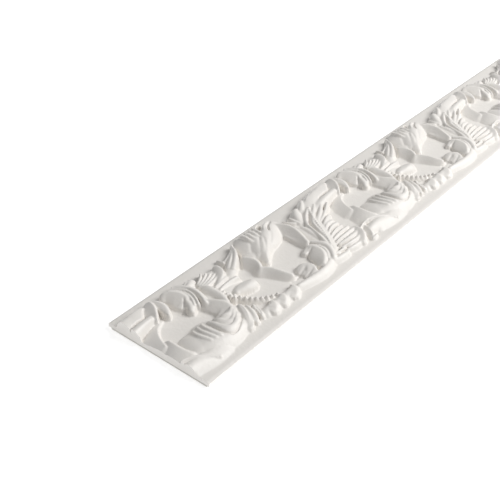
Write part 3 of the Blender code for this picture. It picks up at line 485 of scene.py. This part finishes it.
def carve_pointed_leaves(relief):
    """Pointed leaves that lean over the upper left of ring B."""
    relief.leaf((76, 51), (86, 57), (7, 7.6, 7.6), (4, 4.6, 3.4), (4, 4, 3),
                feet=(5.4, 5.4), swell=(0.9, 0.9))
    relief.leaf((85, 69), (85.2, 63.5), (7, 7.6, 7.6), (1.2, 1.5, 1.3), (1.2, 1.5, 1.3),
                feet=(5.5, 5.5), swell=(0.9, 0.9))
    relief.leaf((86.8, 64.6), (99, 69.4), (7.4, 8.2, 7.2), (1.6, 2, 1.2), (1, 1.2, 1),
                bow=(-0.8, -0.8), feet=(5, 6.6), swell=(0.9, 0.9))
    relief.leaf((83, 58), (98.5, 68.6), (8, 9.2, 8), (2.8, 2.8, 1.2), (1.4, 1.6, 1),
                bow=(-0.4, -0.6), feet=(5.5, 7.8), swell=(0.9, 0.9))
    relief.leaf((84.5, 54.8), (101.8, 71.4), (8.6, 10, 8.8), (2, 2.4, 1.4), (1.8, 2.4, 1.4),
                bow=(-1.4, -1.8), feet=(8, 7), swell=(0.9, 1))
    # Deep groove under the longest one
    relief.groove((90, 53.4), (101.8, 69.5), (0.6, 2.6, 1.4), 1.4, bow=(-1, -1.4))


def carve_ring_b(relief):
    """Second ring: crescent, hooded leaf with fluted top, hollow leaf, hook and roll."""
    # Two lobes of the crescent on the left, each with a bright rounded rim
    relief.leaf((95.4, 57.6), (94.6, 41.6), (8.8, 9.8, 9.4), (2, 2.8, 2.2), (5.4, 7, 5.4),
                bow=(2.4, 2.6), feet=(8, FLOOR), swell=(1, 0.2))
    relief.leaf((94.6, 41), (102.8, 22.8), (9.2, 9.4, 8.4), (2.4, 3, 2.2), (5, 5, 3.4),
                bow=(1, 0.2), feet=(7, FLOOR), swell=(1, 0.2))
    # Hood over the top of the ring, and the bed that ties it to the hollow leaf
    relief.leaf((104, 54), (136, 60), (7.4, 8, 7.2), (7, 12, 6), (4, 9, 6),
                bow=(2, 3), feet=(6, 5), swell=(0.9, 0.9))
    relief.leaf((105.5, 43.5), (118.5, 57.5), (7.6, 10.2, 11), (3.5, 9, 12), (1.6, 5, 8),
                bow=(0.9, 0.9), feet=(5.4, 5.4), swell=(0.6, 1))
    relief.leaf((115, 56), (136.5, 66.4), (10.6, 11.4, 10.4), (3, 4, 3), (7, 11, 8),
                bow=(1, 1.4), feet=(9.4, 5.8), swell=(1, 1))
    relief.leaf((107, 52), (119, 66), (8.6, 10.4, 10.2), (6, 9.5, 9), (4, 6, 6),
                feet=(5, 5.4), swell=(0.6, 1))
    relief.leaf((105, 59), (114, 69), (7.6, 9, 9.2), (6, 9, 8), (5, 6, 6),
                feet=(5, 5), swell=(0.5, 1))
    relief.groove((109, 49), (120, 60), (0.2, 0.6, 0.3), 1.3, bow=(-0.8, -0.8))
    relief.groove((114, 50.5), (128, 60), (0.2, 0.5, 0.3), 1.3, bow=(-0.8, -0.8))
    # Strands over its top, then the leaves at their right
    strands = 4
    for number in range(strands):
        share = number / (strands - 1)
        relief.leaf((112.5 + 10.5 * share, 62 - 2 * share), (114 + 11 * share, 73),
                    (10.2, 10.8, 8.8), (1.4, 2, 1.5), (1.2, 1.6, 1.3),
                    bow=(0.9, 0.5), feet=(9.3, 9.3), swell=(1, 1))
    relief.leaf((124.5, 61.5), (137, 70), (11.2, 11.4, 9.8), (2, 2.4, 1.8), (1.6, 2, 1.6),
                bow=(1.6, 1.6), feet=(7.6, 8.6), swell=(1, 1))
    relief.leaf((124.5, 69.5), (133, 73.6), (8.6, 9, 7.6), (1, 1.2, 1), (1, 1.1, 0.9),
                bow=(1.6, 1.4), feet=(5, 6.8), swell=(0.9, 0.9))
    relief.groove((128.5, 61.8), (137, 68), (1.4, 2, 1.2), 0.9, bow=(1, 1))
    # Hollow leaf on the right, and two low rims at its left
    relief.leaf((135.6, 54.5), (135.2, 36), (6, 6.2, 6), (7, 7, 5), (1.6, 1.9, 1.6),
                feet=(6, FLOOR), swell=(0, 1))
    relief.leaf((135.8, 65), (136.6, 36.6), (10, 10.6, 9.2), (2.2, 2.8, 2), (3.4, 6.8, 3.6),
                bow=(5, 3.6), feet=(8.6, 5.8), swell=(1, -0.1))
    relief.rim((134.8, 53), (134.4, 36.5), (6.6, 6.8, 6.6), 0.9)
    # Hook that curls in from the stalk, and the two curls behind it
    relief.leaf((127.4, 31.6), (134.6, 32.4), (7, 8, 9), (1.8, 2.4, 2.2), (2.4, 3, 2.4),
                bow=(0.4, 0.4), feet=(5.4, 7.4), swell=(0.6, 1))
    relief.leaf((134, 29.2), (125.5, 14.5), (9.8, 10.4, 9.4), (2, 2.4, 1.8), (6.6, 8.6, 5),
                bow=(2.8, 2.6), feet=(8.8, 6), swell=(1, 0.3))
    relief.groove((126, 27.6), (133, 29.2), (0.9, 1.2, 0.5), 0.8, bow=(0.4, 0.4))
    relief.leaf((135.6, 31.6), (131.2, 15), (8.8, 9.6, 9), (1.5, 1.9, 1.5), (1, 1.1, 1),
                bow=(3.2, 3), feet=(8.2, 8), swell=(1, 1))
    relief.leaf((139, 33.6), (134, 12.6), (9, 10, 9.4), (2.2, 3, 2), (2, 2.6, 2),
                bow=(4.2, 3.6), feet=(7.8, 8.2), swell=(1, 1))
    # Rolled end inside the bottom of the ring
    relief.leaf((116.6, 22.6), (116.8, 14.4), (8.6, 9, 8.6), (1.6, 2, 1.7), (9, 16, 9),
                bow=(1.6, 1.6), feet=(6.8, 5.4), swell=(1, 0.5))
    for root, tip in (((100, 20.4), (114.5, 20.8)), ((104, 15.6), (116, 16))):
        relief.groove(root, tip, (0.6, 0.9, 0.3), 1, bow=(-0.4, -0.4))


def carve_stalk(relief):
    """Smooth stalk sweeping along the low border under ring B, and its two end leaves."""
    relief.leaf((98, 13), (135, 15.4), (7.8, 8.4, 8.6), (2.4, 2.4, 1.8), (3.4, 5.2, 4.4),
                bow=(-2.3, -3.3), feet=(6, FLOOR), swell=(0.9, 0.9))
    relief.leaf((131, 12), (146.5, 10.4), (7.4, 7.8, 7.4), (1.8, 2.4, 2.4), (2, 2.8, 2.6),
                bow=(-0.3, -0.3), feet=(6.4, FLOOR), swell=(1, 1))
    relief.leaf((138, 15), (150, 14.8), (7.8, 8, 7.4), (1, 1.3, 1.4), (1, 1.2, 1.2),
                bow=(-0.5, -0.5), feet=(6.4, 6.4), swell=(0.9, 0.9))


def carve_scroll(step):
    """One whole repeat of the scroll."""
    relief = Relief(step)
    carve_ring_a(relief)
    carve_calyx(relief)
    carve_low_petals(relief)
    carve_ring_b(relief)
    carve_pointed_leaves(relief)
    carve_stalk(relief)
    carve_shell_fan(relief)
    carve_plume(relief)
    carve_heel(relief)
    relief.soften(SOFTENING)
    return relief


def strip_surface(relief, repeats):
    """Open mesh of the carved top, laid past all four edges of the strip."""
    step = relief.step * MM
    beyond = round(OVERLAP_AROUND / step)
    columns = np.arange(-beyond, relief.columns * repeats + beyond + 1)
    rows = np.arange(-beyond, relief.rows + beyond)
    inside = np.clip(rows, 0, relief.rows - 1)
    height = relief.height[np.ix_(inside, columns % relief.columns)] * MM
    along = columns * step - REPEAT_LENGTH * repeats / 2
    across = rows * step - STRIP_WIDTH / 2
    grid_x, grid_y = np.meshgrid(along, across)
    points = np.stack((grid_x, grid_y, height), axis=-1).reshape(-1, 3)
    width = len(columns)
    corner = (np.arange(len(rows) - 1)[:, None] * width + np.arange(width - 1)).ravel()
    faces = np.stack((corner, corner + 1, corner + width + 1, corner + width), axis=1)
    mesh = bpy.data.meshes.new("carved_surface")
    mesh.from_pydata(points.tolist(), [], faces.tolist())
    return mesh


def thinned(mesh, triangles):
    """The same surface with about the given number of triangles, most where it bends most."""
    holder = bpy.data.objects.new("surface_to_thin", mesh)
    bpy.context.scene.collection.objects.link(holder)
    decimate = holder.modifiers.new("Decimate", "DECIMATE")
    decimate.ratio = triangles / (2 * len(mesh.polygons))
    decimate.use_collapse_triangulate = True
    graph = bpy.context.evaluated_depsgraph_get()
    result = bpy.data.meshes.new_from_object(holder.evaluated_get(graph))
    bpy.data.objects.remove(holder, do_unlink=True)
    bpy.data.meshes.remove(mesh)
    return result


def joined_rim(side, first, last):
    """Rim vertices of one side from first to last, in the order in which they are joined."""
    chain = [first]
    left = set(side)
    while chain[-1] != last:
        left.discard(chain[-1])
        joined = [edge.other_vert(chain[-1]) for edge in chain[-1].link_edges if edge.is_boundary]
        chain.append(next(vert for vert in joined if vert in left))
    return chain


def closed_strip(mesh, length, underside):
    """Trim the carved surface square on all four sides and close it down to a flat underside."""
    half_length = length / 2
    half_width = STRIP_WIDTH / 2
    body = bmesh.new()
    body.from_mesh(mesh)
    sides = (((half_length, 0, 0), (1, 0, 0)), ((-half_length, 0, 0), (-1, 0, 0)),
             ((0, half_width, 0), (0, 1, 0)), ((0, -half_width, 0), (0, -1, 0)))
    for point, outward in sides:
        everything = body.verts[:] + body.edges[:] + body.faces[:]
        bmesh.ops.bisect_plane(body, geom=everything, dist=CUT_TOLERANCE, plane_co=point,
                               plane_no=outward, clear_outer=True)
    rim = [vert for vert in body.verts if vert.is_boundary]
    corners = [(half_length, half_width), (-half_length, half_width),
               (-half_length, -half_width), (half_length, -half_width)]
    low = [body.verts.new((x, y, underside)) for x, y in corners]
    body.faces.new(reversed(low))
    for index in range(4):
        start = corners[index]
        end = corners[(index + 1) % 4]
        axis = 0 if start[1] == end[1] else 1
        fixed = 1 - axis
        side = [vert for vert in rim if abs(vert.co[fixed] - start[fixed]) < SIDE_TOLERANCE]
        side.sort(key=lambda vert: vert.co[axis], reverse=start[axis] < end[axis])
        chain = joined_rim(side, side[0], side[-1])
        for vert in chain:
            vert.co[fixed] = start[fixed]
        body.faces.new([low[index], low[(index + 1) % 4]] + chain)
    bmesh.ops.recalc_face_normals(body, faces=body.faces)
    bmesh.ops.triangulate(body, faces=[face for face in body.faces if len(face.verts) > 4])
    body.to_mesh(mesh)
    body.free()
    return mesh


def sheet_mesh(name, low, high, wave):
    """Thin flat sheet between two corners, its long sides waving in and out where it was slit."""
    stations = np.linspace(low.x, high.x, SHEET_STATIONS)
    sway = wave * np.sin(stations / WAVE_LENGTH * 2 * np.pi)
    body = bmesh.new()
    rings = []
    for x, shift in zip(stations, sway):
        inset = wave + shift
        ring = [(x, low.y + inset, low.z), (x, high.y - inset, low.z),
                (x, high.y - inset, high.z), (x, low.y + inset, high.z)]
        rings.append([body.verts.new(point) for point in ring])
    for before, after in zip(rings, rings[1:]):
        for side in range(4):
            following = (side + 1) % 4
            body.faces.new((before[side], before[following], after[following], after[side]))
    body.faces.new(rings[0])
    body.faces.new(reversed(rings[-1]))
    bmesh.ops.recalc_face_normals(body, faces=body.faces)
    mesh = bpy.data.meshes.new(name)
    body.to_mesh(mesh)
    body.free()
    return mesh


def add_floor(stage):
    """Plain pale table top at the height of the strip's underside."""
    body = bmesh.new()
    bmesh.ops.create_grid(body, x_segments=2, y_segments=2, size=FLOOR_SIZE / 2)
    mesh = bpy.data.meshes.new("table_top")
    body.to_mesh(mesh)
    body.free()
    mesh.materials.append(painted_table(tuple(stage.floor_colour), stage.floor_glow))
    floor = bpy.data.objects.new("table_top", mesh)
    floor.location.z = CAD_BOX[0].z - FLOOR_CLEARANCE
    bpy.context.scene.collection.objects.link(floor)


def add_lights(stage):
    """One large soft light on the right of the camera, and an even pale sky."""
    lamp = bpy.data.lights.new("key_light", "AREA")
    lamp.shape = "RECTANGLE"
    lamp.size = KEY_WIDTH
    lamp.size_y = KEY_DEPTH
    lamp.energy = stage.key_power
    light = bpy.data.objects.new("key_light", lamp)
    light.location = KEY_PLACE
    light.rotation_euler = (KEY_AIM - KEY_PLACE).to_track_quat("-Z", "Y").to_euler()
    bpy.context.scene.collection.objects.link(light)
    sky = bpy.data.worlds.new("pale_studio")
    sky.use_nodes = True
    background = sky.node_tree.nodes["Background"]
    background.inputs["Color"].default_value = linear_colour(SKY_COLOUR)
    background.inputs["Strength"].default_value = stage.sky_strength
    bpy.context.scene.world = sky


def add_camera():
    """Camera above and to the left of the near cut end, looking along the strip."""
    data = bpy.data.cameras.new("camera")
    data.sensor_width = SENSOR_WIDTH
    data.lens = FOCAL_LENGTH
    camera = bpy.data.objects.new("camera", data)
    camera.location = CAMERA_PLACE
    camera.rotation_euler = (CAMERA_AIM - CAMERA_PLACE).to_track_quat("-Z", "Y").to_euler()
    bpy.context.scene.collection.objects.link(camera)
    bpy.context.scene.camera = camera


def linear_colour(hex_code):
    """Linear colour of an sRGB hex value such as #f4f2ee."""
    channels = [int(hex_code[place:place + 2], 16) / 255 for place in (1, 3, 5)]
    linear = [((value + 0.055) / 1.055) ** 2.4 if value > 0.04045 else value / 12.92
              for value in channels]
    return (*linear, 1.0)


def add_node(tree, kind, settings=None, values=None, links=None):
    """Add one node, set its options and socket values, and link its inputs."""
    node = tree.nodes.new(kind)
    for name, value in (settings or {}).items():
        setattr(node, name, value)
    for name, value in (values or {}).items():
        node.inputs[name].default_value = value
    for name, source in (links or {}).items():
        tree.links.new(source, node.inputs[name])
    return node


def pattern_scale(width):
    """Scale of a pattern whose features have this width in millimetres."""
    return 1 / (width * MM)


def new_material(name):
    """Empty node material, its Principled shader and its object coordinates."""
    material = bpy.data.materials.new(name)
    material.use_nodes = True
    tree = material.node_tree
    place = add_node(tree, "ShaderNodeTexCoord").outputs["Object"]
    return material, tree, tree.nodes["Principled BSDF"], place


def cast_polyurethane(colour, shade_colour):
    """White polyurethane, cast in a flexible mould.

    The eye sees a satin white with a slightly uneven skin: soft dimples a few millimetres wide
    from the mould, a fine tooth from the mould's own casting, drawn coarse enough to show, and a
    sheen that comes and goes.
    """
    material, tree, shader, place = new_material("cast_polyurethane")
    pigment = add_node(tree, "ShaderNodeTexNoise",
                       values={"Scale": pattern_scale(PIGMENT_PATCH), "Detail": 3.0},
                       links={"Vector": place})
    tint = add_node(tree, "ShaderNodeMix", {"data_type": "RGBA"},
                    values={MIX_FIRST: colour, MIX_SECOND: shade_colour},
                    links={MIX_SHARE: pigment.outputs["Fac"]})
    tree.links.new(tint.outputs[MIX_RESULT], shader.inputs["Base Color"])

    patches = add_node(tree, "ShaderNodeTexNoise",
                       values={"Scale": pattern_scale(SHEEN_PATCH), "Detail": 2.0},
                       links={"Vector": place})
    sheen = add_node(tree, "ShaderNodeMapRange",
                     values={"From Min": 0.3, "From Max": 0.7, "To Min": 0.4, "To Max": 0.52},
                     links={"Value": patches.outputs["Fac"]})
    tree.links.new(sheen.outputs["Result"], shader.inputs["Roughness"])

    dimples = add_node(tree, "ShaderNodeTexNoise",
                       values={"Scale": pattern_scale(DIMPLE_WIDTH), "Detail": 1.0},
                       links={"Vector": place})
    tooth = add_node(tree, "ShaderNodeTexNoise",
                     values={"Scale": pattern_scale(TOOTH_WIDTH), "Detail": 2.0},
                     links={"Vector": place})
    waved = add_node(tree, "ShaderNodeBump", values={"Strength": 1.0, "Distance": DIMPLE_DEPTH * MM},
                     links={"Height": dimples.outputs["Fac"]})
    skin = add_node(tree, "ShaderNodeBump", values={"Strength": 1.0, "Distance": TOOTH_DEPTH * MM},
                    links={"Height": tooth.outputs["Fac"], "Normal": waved.outputs["Normal"]})
    tree.links.new(skin.outputs["Normal"], shader.inputs["Normal"])
    shader.inputs["IOR"].default_value = 1.5
    return material


def closed_cell_foam(colour, cell_colour):
    """Polyethylene foam tape, slit to width: matt, its cut cells drawn coarse enough to show."""
    material, tree, shader, place = new_material("closed_cell_foam")
    cells = add_node(tree, "ShaderNodeTexVoronoi", values={"Scale": pattern_scale(FOAM_CELL)},
                     links={"Vector": place})
    tint = add_node(tree, "ShaderNodeMix", {"data_type": "RGBA"},
                    values={MIX_FIRST: colour, MIX_SECOND: cell_colour},
                    links={MIX_SHARE: cells.outputs["Distance"]})
    tree.links.new(tint.outputs[MIX_RESULT], shader.inputs["Base Color"])
    pits = add_node(tree, "ShaderNodeBump",
                    values={"Strength": 0.6, "Distance": FOAM_CELL_DEPTH * MM},
                    links={"Height": cells.outputs["Distance"]})
    tree.links.new(pits.outputs["Normal"], shader.inputs["Normal"])
    shader.inputs["Roughness"].default_value = 0.85
    shader.inputs["IOR"].default_value = 1.5
    return material


def glassine_paper(colour, fibre_colour):
    """Siliconised glassine release paper, calendered smooth and half glossy.

    The eye sees a slow cockle, and faint long fibres that are drawn wide enough to show.
    """
    material, tree, shader, place = new_material("glassine_paper")
    stretched = add_node(tree, "ShaderNodeMapping", values={"Scale": (0.15, 1.0, 1.0)},
                         links={"Vector": place})
    fibres = add_node(tree, "ShaderNodeTexNoise",
                      values={"Scale": pattern_scale(FIBRE_WIDTH), "Detail": 4.0},
                      links={"Vector": stretched.outputs["Vector"]})
    tint = add_node(tree, "ShaderNodeMix", {"data_type": "RGBA"},
                    values={MIX_FIRST: colour, MIX_SECOND: fibre_colour},
                    links={MIX_SHARE: fibres.outputs["Fac"]})
    tree.links.new(tint.outputs[MIX_RESULT], shader.inputs["Base Color"])
    cockle = add_node(tree, "ShaderNodeTexNoise",
                      values={"Scale": pattern_scale(COCKLE_WIDTH), "Detail": 1.0},
                      links={"Vector": place})
    wavy = add_node(tree, "ShaderNodeBump", values={"Strength": 0.4, "Distance": COCKLE_DEPTH * MM},
                    links={"Height": cockle.outputs["Fac"]})
    tree.links.new(wavy.outputs["Normal"], shader.inputs["Normal"])
    shader.inputs["Roughness"].default_value = 0.32
    shader.inputs["IOR"].default_value = 1.47
    return material


def painted_table(colour, glow):
    """White painted table top with a light under it: matt, its sheen hardly varying."""
    material, tree, shader, place = new_material("painted_table")
    grain = add_node(tree, "ShaderNodeTexNoise", values={"Scale": pattern_scale(TABLE_GRAIN)},
                     links={"Vector": place})
    sheen = add_node(tree, "ShaderNodeMapRange", values={"To Min": 0.85, "To Max": 0.95},
                     links={"Value": grain.outputs["Fac"]})
    tree.links.new(sheen.outputs["Result"], shader.inputs["Roughness"])
    shader.inputs["Base Color"].default_value = colour
    shader.inputs["Emission Color"].default_value = colour
    shader.inputs["Emission Strength"].default_value = glow
    return material


def add_piece(name, mesh, material, node):
    """Put a piece into the scene in the place of its CAD node."""
    mesh.materials.clear()
    mesh.materials.append(material)
    piece = bpy.data.objects.new(name, mesh)
    bpy.context.scene.collection.objects.link(piece)
    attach(piece, "root")
    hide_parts(node)


class MOULDING_PG_strip(bpy.types.PropertyGroup):
    """Sizes and colour of the cast strip."""

    repeats: bpy.props.IntProperty(
        name="Repeats", description="How many times the scroll repeats along the strip",
        default=REPEATS, min=1, max=6)
    step: bpy.props.FloatProperty(
        name="Carving step", description="Spacing of the heights that the relief is carved on",
        default=CARVING_STEP, min=0.0003, max=0.004, unit="LENGTH", precision=4)
    triangles: bpy.props.IntProperty(
        name="Triangles", description="About how many triangles the carved surface keeps",
        default=TOP_TRIANGLES, min=5000, max=195000)
    colour: bpy.props.FloatVectorProperty(
        name="Colour", description="Colour of the cast polyurethane",
        default=linear_colour("#f1ede8"), size=4, min=0, max=1, subtype="COLOR")
    shade_colour: bpy.props.FloatVectorProperty(
        name="Uneven colour", description="Colour where the pigment lies a little darker",
        default=linear_colour("#ece8e2"), size=4, min=0, max=1, subtype="COLOR")


class MOULDING_PG_backing(bpy.types.PropertyGroup):
    """Colours of the tape and its liner."""

    foam_colour: bpy.props.FloatVectorProperty(
        name="Foam", description="Colour of the foam tape",
        default=linear_colour("#c9c8c4"), size=4, min=0, max=1, subtype="COLOR")
    cell_colour: bpy.props.FloatVectorProperty(
        name="Foam cells", description="Colour inside the cut cells of the foam",
        default=linear_colour("#a9a8a4"), size=4, min=0, max=1, subtype="COLOR")
    liner_colour: bpy.props.FloatVectorProperty(
        name="Liner", description="Colour of the release paper",
        default=linear_colour("#e6e3d8"), size=4, min=0, max=1, subtype="COLOR")
    fibre_colour: bpy.props.FloatVectorProperty(
        name="Liner fibres", description="Colour of the fibres in the release paper",
        default=linear_colour("#d9d5c8"), size=4, min=0, max=1, subtype="COLOR")


class MOULDING_PG_stage(bpy.types.PropertyGroup):
    """Floor, lights and camera."""

    floor_colour: bpy.props.FloatVectorProperty(
        name="Floor", description="Colour of the table top",
        default=linear_colour("#f7f7f7"), size=4, min=0, max=1, subtype="COLOR")
    floor_glow: bpy.props.FloatProperty(
        name="Floor glow", description="How much light the table top gives off itself",
        default=0.65, min=0, max=2)
    key_power: bpy.props.FloatProperty(
        name="Key light", description="Power of the large soft light on the right",
        default=17.0, min=0, max=500, unit="POWER")
    sky_strength: bpy.props.FloatProperty(
        name="Sky", description="Strength of the even light from all around",
        default=0.32, min=0, max=3)


class MOULDING_OT_cast_strip(bpy.types.Operator):
    """Carve the scroll and cast the strip"""

    bl_idname = "moulding.cast_strip"
    bl_label = "Cast strip"

    def execute(self, context):
        sizes = context.scene.moulding_strip
        surface = strip_surface(carve_scroll(sizes.step / MM), sizes.repeats)
        length = REPEAT_LENGTH * sizes.repeats
        mesh = closed_strip(thinned(surface, sizes.triangles), length, STRIP_LOW.z)
        mesh.name = "acanthus_strip"
        mesh.shade_smooth()
        mesh.set_sharp_from_angle(angle=np.radians(SHARP_EDGE_DEGREES))
        material = cast_polyurethane(tuple(sizes.colour), tuple(sizes.shade_colour))
        add_piece("acanthus_strip", mesh, material, "moulding")
        return {"FINISHED"}


class MOULDING_OT_lay_backing(bpy.types.Operator):
    """Lay the foam tape and its release liner under the strip"""

    bl_idname = "moulding.lay_backing"
    bl_label = "Lay backing"

    def execute(self, context):
        colours = context.scene.moulding_backing
        foam = closed_cell_foam(tuple(colours.foam_colour), tuple(colours.cell_colour))
        paper = glassine_paper(tuple(colours.liner_colour), tuple(colours.fibre_colour))
        tape = sheet_mesh("foam_tape", TAPE_LOW, TAPE_HIGH, wave=TAPE_WAVE)
        liner = sheet_mesh("paper_liner", LINER_LOW, LINER_HIGH, wave=0)
        add_piece("foam_tape", tape, foam, "adhesive_tape")
        add_piece("paper_liner", liner, paper, "release_liner")
        return {"FINISHED"}


class MOULDING_OT_set_stage(bpy.types.Operator):
    """Set up the table top, the lights and the camera"""

    bl_idname = "moulding.set_stage"
    bl_label = "Set stage"

    def execute(self, context):
        stage = context.scene.moulding_stage
        add_floor(stage)
        add_lights(stage)
        add_camera()
        context.scene.view_settings.view_transform = "Standard"
        return {"FINISHED"}


class MOULDING_PT_panel(bpy.types.Panel):
    """Sizes, colours and steps of the moulding"""

    bl_label = "Self-adhesive moulding"
    bl_idname = "MOULDING_PT_panel"
    bl_space_type = "VIEW_3D"
    bl_region_type = "UI"
    bl_category = "Moulding"

    def draw(self, context):
        for group, operator in STEPS:
            box = self.layout.box()
            settings = getattr(context.scene, group)
            for name in settings.bl_rna.properties.keys():
                if name not in ("rna_type", "name"):
                    box.prop(settings, name)
            box.operator(operator.bl_idname)


STEPS = (
    ("moulding_strip", MOULDING_OT_cast_strip),
    ("moulding_backing", MOULDING_OT_lay_backing),
    ("moulding_stage", MOULDING_OT_set_stage),
)
GROUPS = {
    "moulding_strip": MOULDING_PG_strip,
    "moulding_backing": MOULDING_PG_backing,
    "moulding_stage": MOULDING_PG_stage,
}
OPERATORS = (MOULDING_OT_cast_strip, MOULDING_OT_lay_backing, MOULDING_OT_set_stage)


def register():
    """Register the settings, the operators and the panel."""
    for cls in (*GROUPS.values(), *OPERATORS, MOULDING_PT_panel):
        bpy.utils.register_class(cls)
    for name, cls in GROUPS.items():
        setattr(bpy.types.Scene, name, bpy.props.PointerProperty(type=cls))


def unregister():
    """Take them away again."""
    for name in GROUPS:
        delattr(bpy.types.Scene, name)
    for cls in reversed((*GROUPS.values(), *OPERATORS, MOULDING_PT_panel)):
        bpy.utils.unregister_class(cls)


def main():
    """Make every piece, then the stage."""
    register()
    bpy.ops.moulding.cast_strip()
    bpy.ops.moulding.lay_backing()
    bpy.ops.moulding.set_stage()


if __name__ == "__main__":
    main()
